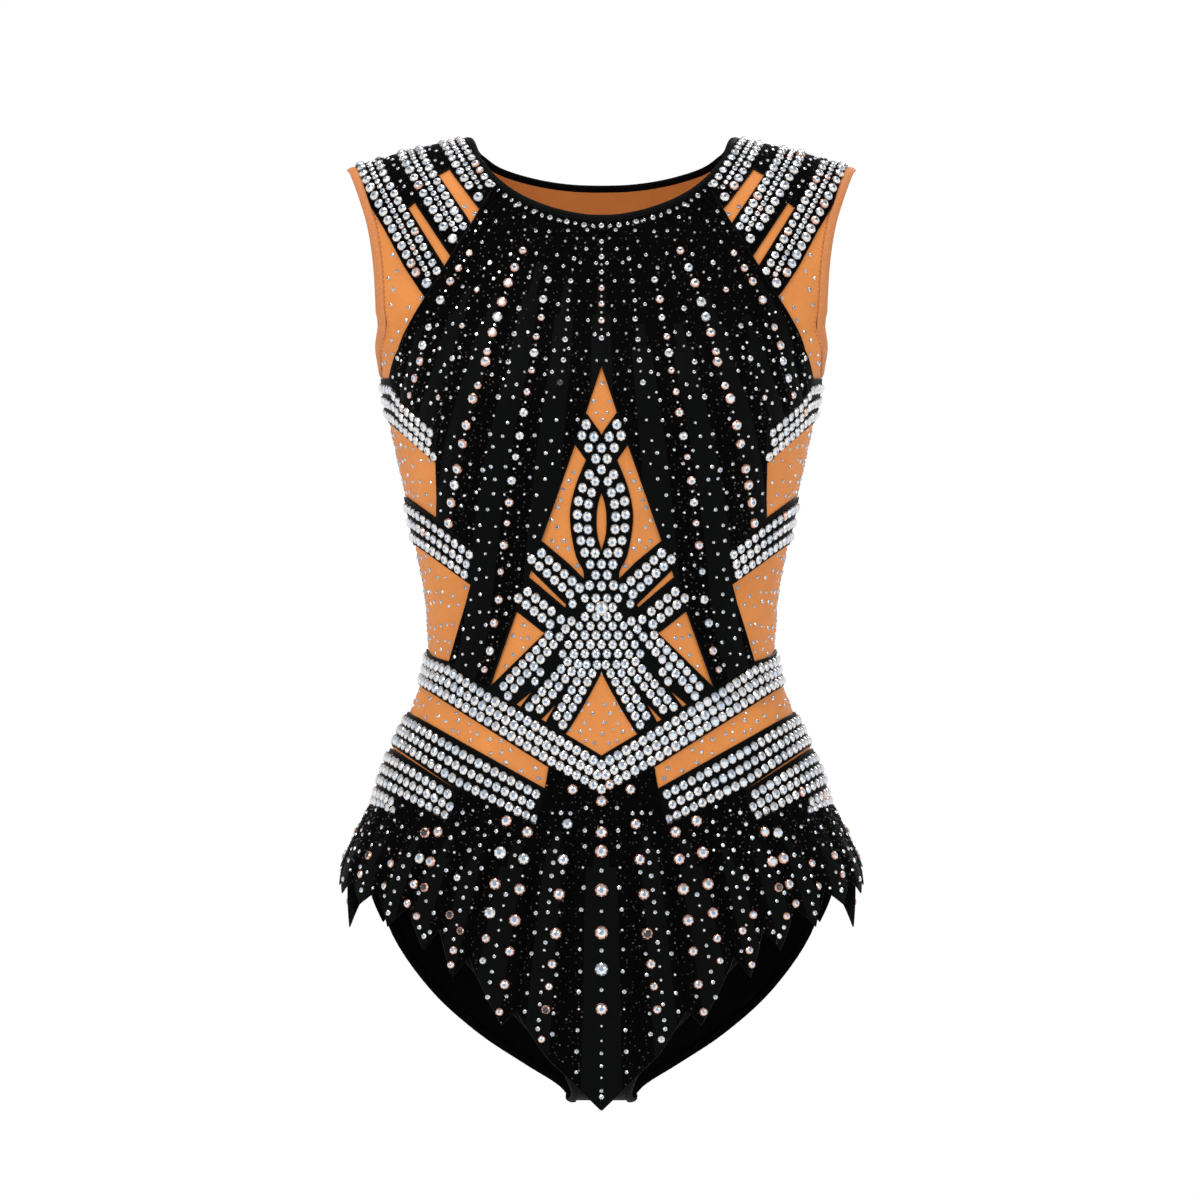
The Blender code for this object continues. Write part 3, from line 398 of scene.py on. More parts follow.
class Figure:
    """A general figure under the cloth, sampled about every millimetre along the body."""

    def __init__(self, sections, cups):
        self.high = sections[0][0]
        self.low = sections[-1][0]
        self.cups = cups
        self.stations = np.linspace(self.low, self.high, int(self.high - self.low) + 1)
        self.columns = np.array([between(sections, station) for station in self.stations]).T

    def column(self, number, stations):
        """One column of the section table at many stations."""
        return np.interp(stations, self.stations, self.columns[number])

    def points(self, angles, stations):
        """Points in millimetres, one row for each pattern coordinate."""
        sine = np.sin(np.radians(angles))
        cosine = np.cos(np.radians(angles))
        reach = (np.abs(sine) ** CORNER_POWER + np.abs(cosine) ** CORNER_POWER) ** (-1 / CORNER_POWER)
        depth = np.where(cosine > 0, self.column(3, stations), self.column(4, stations))
        y = self.column(5, stations) - depth * reach * cosine
        if self.cups:
            wrapped = (angles + 180.0) % 360.0 - 180.0
            along = np.exp(-(((stations - CUP_STATION) / CUP_STATION_SPREAD) ** 2))
            round_it = np.exp(-(((wrapped - CUP_ANGLE) / CUP_ANGLE_SPREAD) ** 2))
            round_it = round_it + np.exp(-(((wrapped + CUP_ANGLE) / CUP_ANGLE_SPREAD) ** 2))
            y = y - np.where(cosine > 0, CUP_DEPTH * along * round_it, 0.0)
        across = reach * sine
        x = self.column(2, stations) * across
        z = self.column(0, stations) - self.column(1, stations) * across**2
        return np.stack((x, y, z), axis=1)

    def normals(self, angles, stations):
        """The outward directions there, from small steps round and along the figure."""
        high = np.minimum(stations + 1.5, self.high)
        low = np.maximum(stations - 1.5, self.low)
        round_it = self.points(angles + 0.4, stations) - self.points(angles - 0.4, stations)
        along = self.points(angles, high) - self.points(angles, low)
        return unit(np.cross(round_it, along))

    def pattern(self, x, z):
        """Pattern coordinates of points seen from the front, by halving the stations."""
        high = np.full(len(x), self.high)
        low = np.full(len(x), self.low)
        for _ in range(30):
            middle = (high + low) / 2
            share = np.minimum(x / self.column(2, middle), 1.0)
            above = self.column(0, middle) - self.column(1, middle) * share**2 > z
            high = np.where(above, middle, high)
            low = np.where(above, low, middle)
        return angle_of(x / self.column(2, middle)), middle

    def spots(self, x, z):
        """The same as rows, exactly on the centre line where they belong there."""
        angles, stations = self.pattern(x, z)
        return np.stack((np.where(x < 1e-6, 0.0, angles), stations), axis=1)


def angle_of(share):
    """The angle round the body at which a ring reaches this share of its half width."""
    share = np.clip(share, 1e-9, 1.0)
    cotangent = np.maximum(share**-CORNER_POWER - 1, 0.0) ** (1 / CORNER_POWER)
    return np.degrees(np.arctan2(1.0, cotangent))


BODY = Figure(BODY_SECTIONS, True)
SKIRT = Figure(SKIRT_SECTIONS, False)


# Lines on the pattern


def ridge(x, back=False):
    """The pattern coordinate of a point of the shoulder ridge."""
    angle = float(angle_of(x / BODY_SECTIONS[0][3]))
    return (BACK_ANGLE - angle if back else angle), SHOULDER_STATION


def split_line(points, step=7.0):
    """A line with points added, so that no stretch is longer than step."""
    line = [tuple(points[0])]
    for start, end in zip(points, points[1:]):
        parts = max(1, math.ceil(math.dist(start, end) / step))
        for i in range(1, parts + 1):
            line.append(tuple(a + (b - a) * i / parts for a, b in zip(start, end)))
    return line


def seen(points, figure=BODY, back=False):
    """Pattern coordinates of a line that is drawn straight in the front or back view."""
    x, z = np.array(split_line(points)).T
    angles, stations = figure.pattern(x, z)
    if back:
        angles = BACK_ANGLE - angles
    line = list(zip(angles.tolist(), stations.tolist()))
    plane = BACK_ANGLE if back else 0.0
    return [(plane, station) if abs(angle - plane) < 1e-3 else (angle, station) for angle, station in line]


def spots_at(places):
    """Pattern coordinates of single places that are seen from the front."""
    return np.array([seen((place, place))[0] for place in places])


def on_plane(angles):
    """Whether pattern angles lie on the plane of symmetry."""
    return (np.abs(angles) < 1e-6) | (np.abs(angles - BACK_ANGLE) < 1e-6)


def is_back(angles):
    """Whether a piece of the left half reaches round to the back."""
    return np.max(angles, initial=0.0) > SIDE_ANGLE + 5


def mirrored(spots):
    """Pattern points moved to the other side, by way of the centre front or the centre back."""
    return np.stack((360.0 * is_back(spots[:, 0]) - spots[:, 0], spots[:, 1]), axis=1)


def curve_through(points, level_end=False, pieces=5):
    """A smooth curve through points. With level_end it crosses the centre line level."""
    line = np.array(points, float)
    last = line[-2] * (-1, 1) if level_end else 2 * line[-1] - line[-2]
    path = np.vstack((2 * line[0] - line[1], line, last))
    t = np.linspace(0, 1, pieces, endpoint=False)[:, None]
    curve = []
    for a, b, c, d in zip(path, path[1:], path[2:], path[3:]):
        bend = (2 * a - 5 * b + 4 * c - d) * t**2 + (3 * b - a - 3 * c + d) * t**3
        curve.extend(0.5 * (2 * b + (c - a) * t + bend))
    return [tuple(point) for point in curve] + [tuple(line[-1])]


def shifted(points, by):
    """A line moved sideways by a distance, to the right of its direction of travel."""
    line = np.array(points, float)
    way = unit(np.gradient(line, axis=0))
    return [tuple(point) for point in line + np.stack((way[:, 1], -way[:, 0]), axis=1) * by]


def without_repeats(points, closer_than=0.2):
    """The outline with points that fall on each other left out."""
    kept = []
    for point in points:
        if not kept or math.dist(point, kept[-1]) > closer_than:
            kept.append(point)
    if math.dist(kept[0], kept[-1]) <= closer_than:
        kept.pop()
    return kept


def grid_cuts(outline, turn=3.0, drop=6.0):
    """Cuts along the body every few degrees in the piece's quarter, and level ones all the way down."""
    low = SIDE_ANGLE * is_back([angle for angle, _ in outline])
    uprights = np.arange(math.ceil(low / turn + 0.01) * turn, low + SIDE_ANGLE - 0.01, turn)
    levels = np.arange(SHOULDER_STATION - drop / 2, CROTCH_STATION, -drop)
    cuts = [((angle, 0.0), (0.0, 1.0)) for angle in uprights]
    return cuts + [((0.0, level), (1.0, 0.0)) for level in levels]


def neck_lines():
    """The neck edge and the seam of its binding, front and back, from the ridge to the centre."""
    lines = []
    for edge, back in ((NECK_EDGE, False), (BACK_NECK_EDGE, True)):
        curve = curve_through(edge, level_end=True)
        for width in (0.0, NECK_TRIM):
            line = [ridge(NECK_RIDGE_X + width, back)] + seen(shifted(curve, -width), back=back)
            line[-1] = (BACK_ANGLE if back else 0.0, line[-1][1])
            lines.append(line)
    return lines


def arm_lines():
    """The armhole edge and the seam of its binding, front and back, from the ridge to the side."""
    lines = []
    for edge, back in ((ARM_EDGE, False), (BACK_ARM_EDGE, True)):
        curve = curve_through(edge)
        for width in (0.0, ARM_TRIM):
            line = [ridge(ARM_RIDGE_X - width, back)] + seen(shifted(curve, width), back=back)
            turn = [(angle - SIDE_ANGLE, station) for angle, station in (line[-5], line[-1])]
            turn = curve_through(turn + [(0.0, ARMPIT_STATION - width)], level_end=True, pieces=8)
            lines.append(line[:-5] + [(angle + SIDE_ANGLE, station) for angle, station in turn])
    return lines


def leg_lines():
    """The leg edge and the seam of its binding, front and back, from the side to the crotch."""
    lines = []
    for edge, back in ((LEG_EDGE, False), (BACK_LEG_EDGE, True)):
        curve = curve_through(edge)
        for width, foot in ((0.0, CROTCH_EDGE_ANGLE), (LEG_TRIM, CROTCH_SEAM_ANGLE)):
            line = [(SIDE_ANGLE, LEG_TOP_STATION + width)] + seen(shifted(curve, width), back=back)
            lines.append(line + [(BACK_ANGLE - foot if back else foot, CROTCH_STATION)])
    return lines


def net_outlines():
    """The outlines of the net's front and back."""
    _, front_neck, _, back_neck = neck_lines()
    _, front_arm, _, back_arm = arm_lines()
    front = front_arm + [(SIDE_ANGLE, NET_HEM_SIDE), (0.0, NET_HEM_CENTRE)] + front_neck[::-1]
    back = back_arm + [(SIDE_ANGLE, NET_HEM_SIDE), (BACK_ANGLE, NET_HEM_SIDE)] + back_neck[::-1]
    return front, back


def bodice_outline():
    """The gathered front, an A whose two legs run down to the belt."""
    neck = neck_lines()[1]
    start = seen((RAGLAN_NECK, RAGLAN_LOW))[0]
    outline = [point for point in neck if point[0] < start[0] - 1.0][::-1] + [start]
    outline += seen((RAGLAN_NECK, RAGLAN_LOW) + BODICE_SIDE + CHEST_BAND_TOP + (CHEST_BAND_END,))[1:]
    outline += seen((CHEST_BAND_END, RIB_BAND_INNER, RIB_BAND_TOP, RIB_BAND_END))[1:]
    return outline + seen((RIB_BAND_END, LEG_OF_A_OUTER, LEG_OF_A_INNER, APEX))[1:]


def yoke_outlines():
    """The shoulder piece in front, and its plain end behind the shoulder."""
    _, front_seam, _, back_seam = neck_lines()
    raglan = seen((RAGLAN_NECK, RAGLAN_LOW))[0]
    front = [point for point in front_seam if point[0] > raglan[0] + 1.0] + [raglan]
    front += seen((RAGLAN_NECK,) + INNER_WINDOW + OUTER_WINDOW + (RAGLAN_LOW,) + YOKE_OUTER)[1:]
    front.append(ridge(YOKE_RIDGE_X))
    back = [point for point in back_seam if point[1] > YOKE_BACK_NECK_STATION]
    back += seen(YOKE_BACK_HEM, back=True)
    back.append(ridge(YOKE_RIDGE_X, True))
    return front, back


def trims():
    """The outline, upper edge and lower edge of each band and belt, under the name of its CAD node."""
    pieces = {}
    chest_top = (BODICE_SIDE[-1],) + CHEST_BAND_TOP
    rib_top = (RIB_BAND_OUTER, RIB_BAND_INNER, RIB_BAND_TOP)
    for name, upper, lower, (top, low) in (
        ("chest_band", chest_top, (CHEST_BAND_LOW, CHEST_BAND_END), CHEST_BAND_SIDE),
        ("rib_band", rib_top, (RIB_BAND_LOW, RIB_BAND_END), RIB_BAND_SIDE),
    ):
        outline = [(SIDE_ANGLE, top)] + seen(upper + lower[::-1]) + [(SIDE_ANGLE, low)]
        pieces[name] = outline, seen(upper) + [(SIDE_ANGLE, top)], seen(lower) + [(SIDE_ANGLE, low)]
    for name, line, (top, low), lower, inner, side in (
        ("waist_belt_front", WAIST_BELT_LINE, WAIST_BELT_SIDE, WAIST_BELT_LOWER, 0, SIDE_ANGLE),
        ("hip_belt", HIP_BELT_LINE, HIP_BELT_SIDE, HIP_BELT_LOWER, 1, SIDE_ANGLE),
        ("hip_band", HIP_BAND_LINE, HIP_BAND_SIDE, HIP_BAND_LOWER, 1, SIDE_ANGLE),
        ("hip_tab", HIP_TAB_LINE, HIP_TAB_SIDE, HIP_TAB_LOWER, 1, HIP_TAB_SIDE_ANGLE),
    ):
        outline = seen(line) + [(side, top), (side, low)] + seen(lower + line[:1])[:-1]
        upper = seen(line[inner:]) + [(SIDE_ANGLE, top)]
        pieces[name] = outline, upper, seen(lower + line[:inner]) + [(SIDE_ANGLE, low)]
    for name, (top, low) in (
        ("waist_belt_back", WAIST_BELT_SIDE),
        ("hip_belt_back", HIP_BELT_SIDE),
        ("hip_band_back", HIP_BAND_SIDE),
    ):
        upper = [(SIDE_ANGLE, top), (BACK_ANGLE, top - BELT_BACK_FALL)]
        lower = [(BACK_ANGLE, low - BELT_BACK_FALL), (SIDE_ANGLE, low)]
        pieces[name] = split_line(upper, 4.0) + split_line(lower, 4.0), upper, lower
    return pieces


def motif_outline():
    """The crossed straps in the opening of the A, half of them."""
    straps = MOTIF_UPPER_STRAP + MOTIF_SLIT + MOTIF_LOWER_STRAP
    loop = tuple(curve_through(MOTIF_LOOP[:7], pieces=3)) + MOTIF_LOOP[7:]
    window = curve_through(((0.0, -270.4), (3.3, -260.0), (4.1, -248.9), (3.2, -238.0), (0.0, -227.8)))
    outline = seen(MOTIF_TOP + loop + straps + MOTIF_RAYS)
    return outline + seen(MOTIF_WINDOWS[:1] + tuple(window))


def fold_angle(petal, station):
    """The angle of a petal's outer valley at a station: a straight fold from the belt to the hem."""
    _, _, low_angle, low_station, top_angle = PETALS[petal]
    share = (station - low_station) / (SKIRT_PLEAT_TOP - low_station)
    return low_angle + (top_angle - low_angle) * share


def across_petal(petal, station, share):
    """The angle that lies a share of the way across a petal at a station."""
    inner = fold_angle(petal - 1, station) if petal else -fold_angle(0, station)
    return inner + (fold_angle(petal, station) - inner) * share


def hem_line(first, last):
    """The points of the hem from one petal's tip to another's outer valley."""
    line = []
    for tip_angle, tip_station, valley_angle, valley_station, _ in PETALS[first:last]:
        line += [(tip_angle, tip_station), (valley_angle, valley_station)]
    return line


def skirt_outlines():
    """The skirt's front below the belts, and its back below the last band."""
    tab_low = HIP_TAB_SIDE[1] - SKIRT_TAB_CLEARANCE
    seam = fold_angle(SKIRT_SEAM_PETAL - 1, tab_low)
    steps = WAIST_BELT_LOWER[::-1][:2] + (HIP_BELT_LINE[1], HIP_BELT_LINE[0], HIP_BELT_LOWER[1])
    steps += (HIP_BAND_LINE[0], HIP_BAND_LOWER[1], HIP_TAB_LINE[0], SKIRT_TAB_CORNER)
    top = [point for point in seen(steps, SKIRT) if point[0] < seam - 1]
    front = hem_line(0, SKIRT_SEAM_PETAL) + [(seam, tab_low)] + top[::-1]
    low = HIP_BAND_SIDE[1]
    back = [(seam, low), (seam, tab_low), PETALS[SKIRT_SEAM_PETAL - 1][2:4]]
    back += hem_line(SKIRT_SEAM_PETAL, len(PETALS))[:-1]
    back += split_line([(BACK_ANGLE, low - BELT_BACK_FALL), (seam + 4.0, low)], 4.0)
    return front, back


# The relief of each cloth over its layer


def creases(table, angles, stations):
    """The sum of the soft creases of a table, in millimetres."""
    height = np.zeros(len(angles))
    for angle, station, slope, half_length, half_width, rise in table:
        across = ((angles - angle + 180.0) % 360.0 - 180.0) * DEGREE_MM
        up = stations - station
        along = across * math.cos(math.radians(slope)) + up * math.sin(math.radians(slope))
        beside = up * math.cos(math.radians(slope)) - across * math.sin(math.radians(slope))
        height += rise * np.exp(-((along / half_length) ** 2) - (beside / half_width) ** 2)
    return height


def worn(angles, stations):
    """The creases that every layer of the body shares."""
    return creases(WORN_CREASES, angles, stations)


def worn_brief(angles, stations):
    """The brief's own folds, which fade out under the belts and at the seam with the net."""
    return creases(BRIEF_CREASES, angles, stations) + worn(angles, stations)


def uneven(numbers, seed):
    """A share from 0 to 1 for each whole number, always the same one for the same number."""
    table = np.random.default_rng(seed).random(512)
    return table[np.asarray(numbers, int) % 512]


def bodice_fan(angles, stations):
    """Which gather of the bodice a point lies in, as a number that grows by one a gather."""
    return angles * BODICE_FAN_RUN / np.maximum(BODICE_FAN_STATION - stations, 1.0) / BODICE_PLEAT_ANGLE


def gathers(angles, stations):
    """The bodice's gathers: rounded pipes with tight valleys, uneven, and finest at the neck."""
    sizes = bpy.context.scene.leotard_cloth
    fan = bodice_fan(angles, stations)
    number = np.floor(fan + 0.5)
    share = np.abs(fan - number) * 2
    drift = 0.65 + 0.5 * uneven(number + 40, 11)
    sway = 0.12 * np.sin(stations / 37.0 + number * 2.1)
    pipe = (1 - share**2.2) * (drift + sway)
    fine = np.cos(fan * 4 * math.pi) * np.exp(np.minimum(stations + 40.0, 16.0) / 45.0)
    return sizes.gather_height * (pipe + 0.35 * fine) + worn(angles, stations)


def petal_share(angles, stations):
    """The petal that each point of the skirt lies in, and how far across it, from 0 to 1."""
    around = np.abs((angles + 180.0) % 360.0 - 180.0)
    low = -fold_angle(0, stations)
    number = np.full(len(around), len(PETALS) - 1)
    share = np.zeros(len(around))
    done = np.zeros(len(around), bool)
    for petal in range(len(PETALS)):
        high = fold_angle(petal, stations)
        here = ~done & (around <= high + 1e-9)
        share = np.where(here, (around - low) / np.maximum(high - low, 1e-6), share)
        number = np.where(here, petal, number)
        done |= here
        low = high
    return number, np.clip(share, 0.0, 1.0)


def pleats(angles, stations):
    """Each petal stands proud of tight folds beside it, and its tip lifts a little."""
    sizes = bpy.context.scene.leotard_cloth
    number, share = petal_share(angles, stations)
    side = np.where(angles > 0, 0, 30)
    crown = 1 - np.abs(2 * share - 1) ** 3.2
    lean = 0.25 * (share - 0.5) * (uneven(number + side, 5) - 0.3)
    depth = np.clip((SKIRT_PLEAT_TOP - stations) / SKIRT_PLEAT_RUN, 0.0, 1.0)
    tips = np.array([petal[1] for petal in PETALS])[number]
    lift = np.clip(1 - (stations - tips) / 45.0, 0.0, 1.0) ** 2 * (0.6 + 2.4 * uneven(number + side, 6))
    ripple = 0.25 * np.sin(stations / 9.0 + number * 1.7) * depth
    flatter = 1 - 0.6 * np.abs(np.sin(np.radians(angles))) ** 4
    height = 0.6 + (sizes.pleat_height - 0.6) * depth * flatter
    return (crown + lean) * height + lift * flatter**2 + ripple


# From a flat pattern to a shell of cloth


def cut_pattern(outline, cuts):
    """The outline filled with cloth and cut into small faces: pattern points and faces."""
    mesh = bmesh.new()
    mesh.faces.new([mesh.verts.new((angle, station, 0.0)) for angle, station in outline])
    mesh.normal_update()
    bmesh.ops.triangulate(mesh, faces=mesh.faces[:])
    for (angle, station), (run, rise) in cuts:
        bmesh.ops.bisect_plane(
            mesh,
            geom=mesh.verts[:] + mesh.edges[:] + mesh.faces[:],
            dist=0.02,
            plane_co=(angle, station, 0.0),
            plane_no=(-rise, run, 0.0),
        )
    bmesh.ops.remove_doubles(mesh, verts=mesh.verts[:], dist=0.02)
    mesh.verts.index_update()
    points = np.array([vertex.co[:2] for vertex in mesh.verts])
    faces = [[vertex.index for vertex in face.verts] for face in mesh.faces]
    mesh.free()
    turned = sum(flat_area(points, face) for face in faces) < 0
    return points, [face[::-1] for face in faces] if turned else faces


def flat_area(points, face):
    """The face's area on the pattern, negative where it looks inward."""
    angles, stations = points[face].T
    return np.sum(angles * np.roll(stations, -1) - np.roll(angles, -1) * stations) / 2


def both_halves(points, faces):
    """A half pattern joined to its mirror image on the plane of symmetry."""
    shared = on_plane(points[:, 0])
    other = np.arange(len(points))
    other[~shared] = len(points) + np.arange(np.count_nonzero(~shared))
    twins = [[int(other[i]) for i in face[::-1]] for face in faces]
    return np.vstack((points, mirrored(points)[~shared])), faces + twins


def edge_loops(faces):
    """The closed loops of vertices along the edges that only one face has."""
    following = {}
    used = {(a, b) for face in faces for a, b in zip(face, face[1:] + face[:1])}
    for a, b in used:
        if (b, a) not in used:
            following.setdefault(a, []).append(b)
    loops = []
    while following:
        start = next(iter(following))
        loop = [start]
        while True:
            ways = following[loop[-1]]
            step = ways.pop()
            if not ways:
                del following[loop[-1]]
            if step == start:
                break
            loop.append(step)
        loops.append(loop)
    return loops


def corners(data):
    """The number of the point at each corner of a mesh's faces."""
    numbers = np.empty(len(data.loops), np.int32)
    data.loops.foreach_get("vertex_index", numbers)
    return numbers


def write_uv(data, flat):
    """Keeps a place in metres for each corner as the UV map that the weave and the pile follow."""
    data.uv_layers.new(name="pattern").data.foreach_set("uv", flat.astype(np.float32).ravel())


def new_mesh_object(name, points, faces, materials):
    """A mesh object of points in metres, with the named materials, riding on the CAD body."""
    data = bpy.data.meshes.new(name)
    data.from_pydata(np.asarray(points, float).tolist(), [], faces)
    for material in materials:
        data.materials.append(named(material))
    made = bpy.data.objects.new(name, data)
    bpy.context.scene.collection.objects.link(made)
    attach(made, "root")
    return made


class Laid:
    """A piece of cloth laid on the figure: its flat pattern, its height, and the object made of it."""

    def __init__(self, name, outline, cuts, side=0, figure=BODY, layer=OVER_LAYER, relief=worn):
        points, faces = cut_pattern(without_repeats(outline), cuts)
        if side == 0:
            points, faces = both_halves(points, faces)
        elif side < 0:
            points = points * (-1, 1)
            faces = [face[::-1] for face in faces]
        self.name = name
        self.figure = figure
        self.layer = layer
        self.relief = relief
        self.points = points
        self.faces = faces
        self.loops = edge_loops(faces)

    def place(self, points, height):
        """Places in metres at a height over the figure, relief included."""
        rise = height + self.relief(*points.T)
        return (self.figure.points(*points.T) + self.figure.normals(*points.T) * rise[:, None]) * MM

    def build(self, materials, pick=None):
        """The shell as an object. pick gives each face the number of its material."""
        count = len(self.points)
        inner = self.place(self.points, self.layer[0])
        outer = self.place(self.points, self.layer[1])
        faces = list(self.faces) + [[i + count for i in face[::-1]] for face in self.faces]
        for loop in self.loops:
            faces += [[b, a, a + count, b + count] for a, b in zip(loop, loop[1:] + loop[:1])]
        made = new_mesh_object(self.name, np.vstack((outer, inner)), faces, materials)
        data = made.data
        angles, stations = self.points[corners(data) % count].T
        girth = self.figure.column(2, stations) * DEGREE_SHARE
        write_uv(data, np.stack((angles * girth, stations), axis=1) * MM)
        if pick is not None:
            centres = np.array([self.points[face].mean(axis=0) for face in self.faces])
            numbers = pick(*centres.T)
            slots = np.concatenate((numbers, numbers, np.zeros(len(faces) - 2 * len(numbers), int)))
            data.polygons.foreach_set("material_index", slots.astype(np.int32))
        data.shade_smooth()
        data.set_sharp_from_angle(angle=SHARP_TURN)
        return made

    def edge_paths(self, step, turn=25.0):
        """The closed edges as pattern lines with even steps, and every sharp corner kept."""
        paths = []
        for loop in self.loops:
            points = self.points[loop]
            places = self.place(points, self.layer[1]) / MM
            way = unit(np.roll(places, -1, axis=0) - places)
            cosine = np.einsum("ij,ij->i", way, np.roll(way, 1, axis=0))
            corner = cosine < math.cos(math.radians(turn))
            kept = [0]
            for i in range(1, len(loop)):
                far = np.linalg.norm(places[i] - places[kept[-1]])
                if (corner[i] and far > 0.4) or far >= step:
                    kept.append(i)
            paths.append(points[kept])
        return paths

    def edged(self, name, height, radius, step=2.6):
        """A cord along the piece's edges, as one object."""
        cord = Joined()
        for path in self.edge_paths(step):
            normals = self.figure.normals(*path.T)
            cord.add(*tube_mesh(self.place(path, height) / MM, normals, (radius, radius), 6, True))
        cord.build(name, [PIPING], "black_satin", smooth=True)


def declare(made, node):
    """Hides the CAD piece that the cloth stands for."""
    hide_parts(node)


# Cords, bindings and stitches


def tube_mesh(places, normals, radii, sides, closed):
    """Points and faces of a tube round a line. radii holds its half width and its half height."""
    ahead = np.roll(places, -1, axis=0)
    behind = np.roll(places, 1, axis=0)
    if not closed:
        ahead[-1] = 2 * places[-1] - places[-2]
        behind[0] = 2 * places[0] - places[1]
    way = unit(ahead - behind)
    beside = unit(np.cross(way, normals))
    up = np.cross(beside, way)
    turn = np.arange(sides) * 2 * math.pi / sides
    width, height = radii
    ring = np.cos(turn)[None, :, None] * beside[:, None, :] * np.reshape(width, (-1, 1, 1))
    ring = ring + np.sin(turn)[None, :, None] * up[:, None, :] * np.reshape(height, (-1, 1, 1))
    points = (places[:, None, :] + ring).reshape(-1, 3)
    count = len(places)
    faces = []
    for i in range(count if closed else count - 1):
        a, b = i * sides, (i + 1) % count * sides
        faces += [[a + j, a + (j + 1) % sides, b + (j + 1) % sides, b + j] for j in range(sides)]
    if not closed:
        faces.append(list(range(sides))[::-1])
        faces.append([(count - 1) * sides + j for j in range(sides)])
    return points, faces


class Joined:
    """Points and faces that are gathered and then made into one object."""

    def __init__(self):
        self.points = []
        self.faces = []
        self.slots = []
        self.count = 0

    def add(self, points, faces, slots=0):
        """Adds a part, with a material number for all of it or one for each face."""
        self.points.append(points)
        self.faces += [[i + self.count for i in face] for face in faces]
        self.slots += [slots] * len(faces) if isinstance(slots, int) else list(slots)
        self.count += len(points)

    def build(self, name, materials, slot, smooth=False):
        """The gathered parts as one object, which rides on the CAD body."""
        made = new_mesh_object(name, np.vstack(self.points) * MM, self.faces, materials)
        made.data.polygons.foreach_set("material_index", np.array(self.slots, np.int32))
        if smooth:
            made.data.shade_smooth()
            made.data.set_sharp_from_angle(angle=SHARP_TURN)
        return made


def run_along(places):
    """How far each place is from the first, along the line."""
    return np.concatenate(([0.0], np.cumsum(np.linalg.norm(np.diff(places, axis=0), axis=1))))


def even_steps(places, step):
    """Where to stand along a line of places to be step apart: whole numbers and shares of them."""
    run = run_along(places)
    count = max(1, int(round(run[-1] / step)))
    return np.interp(np.linspace(0, run[-1], count + 1), run, np.arange(len(places)))


def sample(line, at):
    """A line's rows at whole numbers and shares of them."""
    numbers = np.arange(len(line))
    return np.stack([np.interp(at, numbers, column) for column in np.asarray(line, float).T], axis=1)


def softened(rows, closed):
    """Each row of a line averaged with its three neighbours at either side."""
    ends = [(3, 3)] + [(0, 0)] * (rows.ndim - 1)
    padded = np.pad(rows, ends, mode="wrap" if closed else "edge")
    return np.mean([padded[i : i + len(rows)] for i in range(7)], axis=0)


# A rolled binding: its middle over the cloth, half its thickness, the least and greatest half widths
BINDING_RISE = 1.35
BINDING_HALF = 1.3
BINDING_WIDTHS = (1.2, 5.5)
BINDING_STEP = 2.4
FINE_STEP = 0.5


def binding_mesh(edge, seam, side, closed=False):
    """A rolled binding between its edge and its seam, puckered a little by its stitches."""
    edge = sample(edge, even_steps(BODY.points(*np.array(edge).T), BINDING_STEP))
    seam = sample(seam, even_steps(BODY.points(*np.array(seam).T), FINE_STEP))
    gaps = BODY.points(*edge.T)[:, None, :] - BODY.points(*seam.T)[None, :, :]
    seam = seam[np.linalg.norm(gaps, axis=2).argmin(axis=1)] * (side, 1)
    edge = edge * (side, 1)
    rim, foot = BODY.points(*edge.T), BODY.points(*seam.T)
    normals = softened(BODY.normals(*((edge + seam) / 2).T), closed)
    width = softened(np.linalg.norm(rim - foot, axis=1) / 2 + 0.6, closed)
    pucker = 1 + 0.07 * np.cos(np.arange(len(edge)) * math.pi)
    places = (rim + foot) / 2 + normals * BINDING_RISE
    return tube_mesh(places, normals, (np.clip(width, *BINDING_WIDTHS), BINDING_HALF * pucker), 10, closed)


def stitch_solid():
    """One stitch of unit length along X: a short thread with rounded, sunken ends."""
    points, faces = [], []
    for x, size, lift in ((-0.5, 0.2, -0.35), (-0.34, 0.9, 0.1), (0.34, 0.9, 0.1), (0.5, 0.2, -0.35)):
        for turn in np.arange(5) * 2 * math.pi / 5:
            points.append((x, math.cos(turn) * size, math.sin(turn) * size + lift))
    for a in (0, 5, 10):
        faces += [[a + j, a + (j + 1) % 5, a + 5 + (j + 1) % 5, a + 5 + j] for j in range(5)]
    return np.array(points), faces + [[4, 3, 2, 1, 0], [15, 16, 17, 18, 19]]


def stood(solid, place, axes):
    """A solid's points with its own axes turned and scaled to three new ones, moved to its place."""
    return place + sum(solid[:, n : n + 1] * axis for n, axis in enumerate(axes))


def sew(gathered, path, side, height, relief=worn):
    """A line of stitches along a pattern line of the body."""
    sizes = bpy.context.scene.leotard_cloth
    stitch, faces = stitch_solid()
    line = sample(path, even_steps(np.array(path), 0.8))
    at = even_steps(BODY.points(*line.T), sizes.stitch_length * 1.45)
    middle = (at[1:] + at[:-1]) / 2
    spots, after = [sample(line, middle + step) * (side, 1) for step in (0.0, 0.3)]
    normals = BODY.normals(*spots.T)
    foot = BODY.points(*spots.T)
    way = unit(BODY.points(*after.T) - foot)
    places = foot + normals * (height + relief(*spots.T))[:, None]
    thread = sizes.thread_width / 2
    axes = np.stack((way * sizes.stitch_length, np.cross(normals, way) * thread, normals * thread), axis=1)
    for place, three in zip(places, axes):
        gathered.add(stood(stitch, place, three), faces)


# Glass stones

# No stone stands higher than this, or it would cross the shoulder ridge
RIDGE_CLEAR = SHOULDER_STATION - 2.0

# Cells in which a stone's neighbours are looked up, wider than two of the largest stones
CELL = 10.0

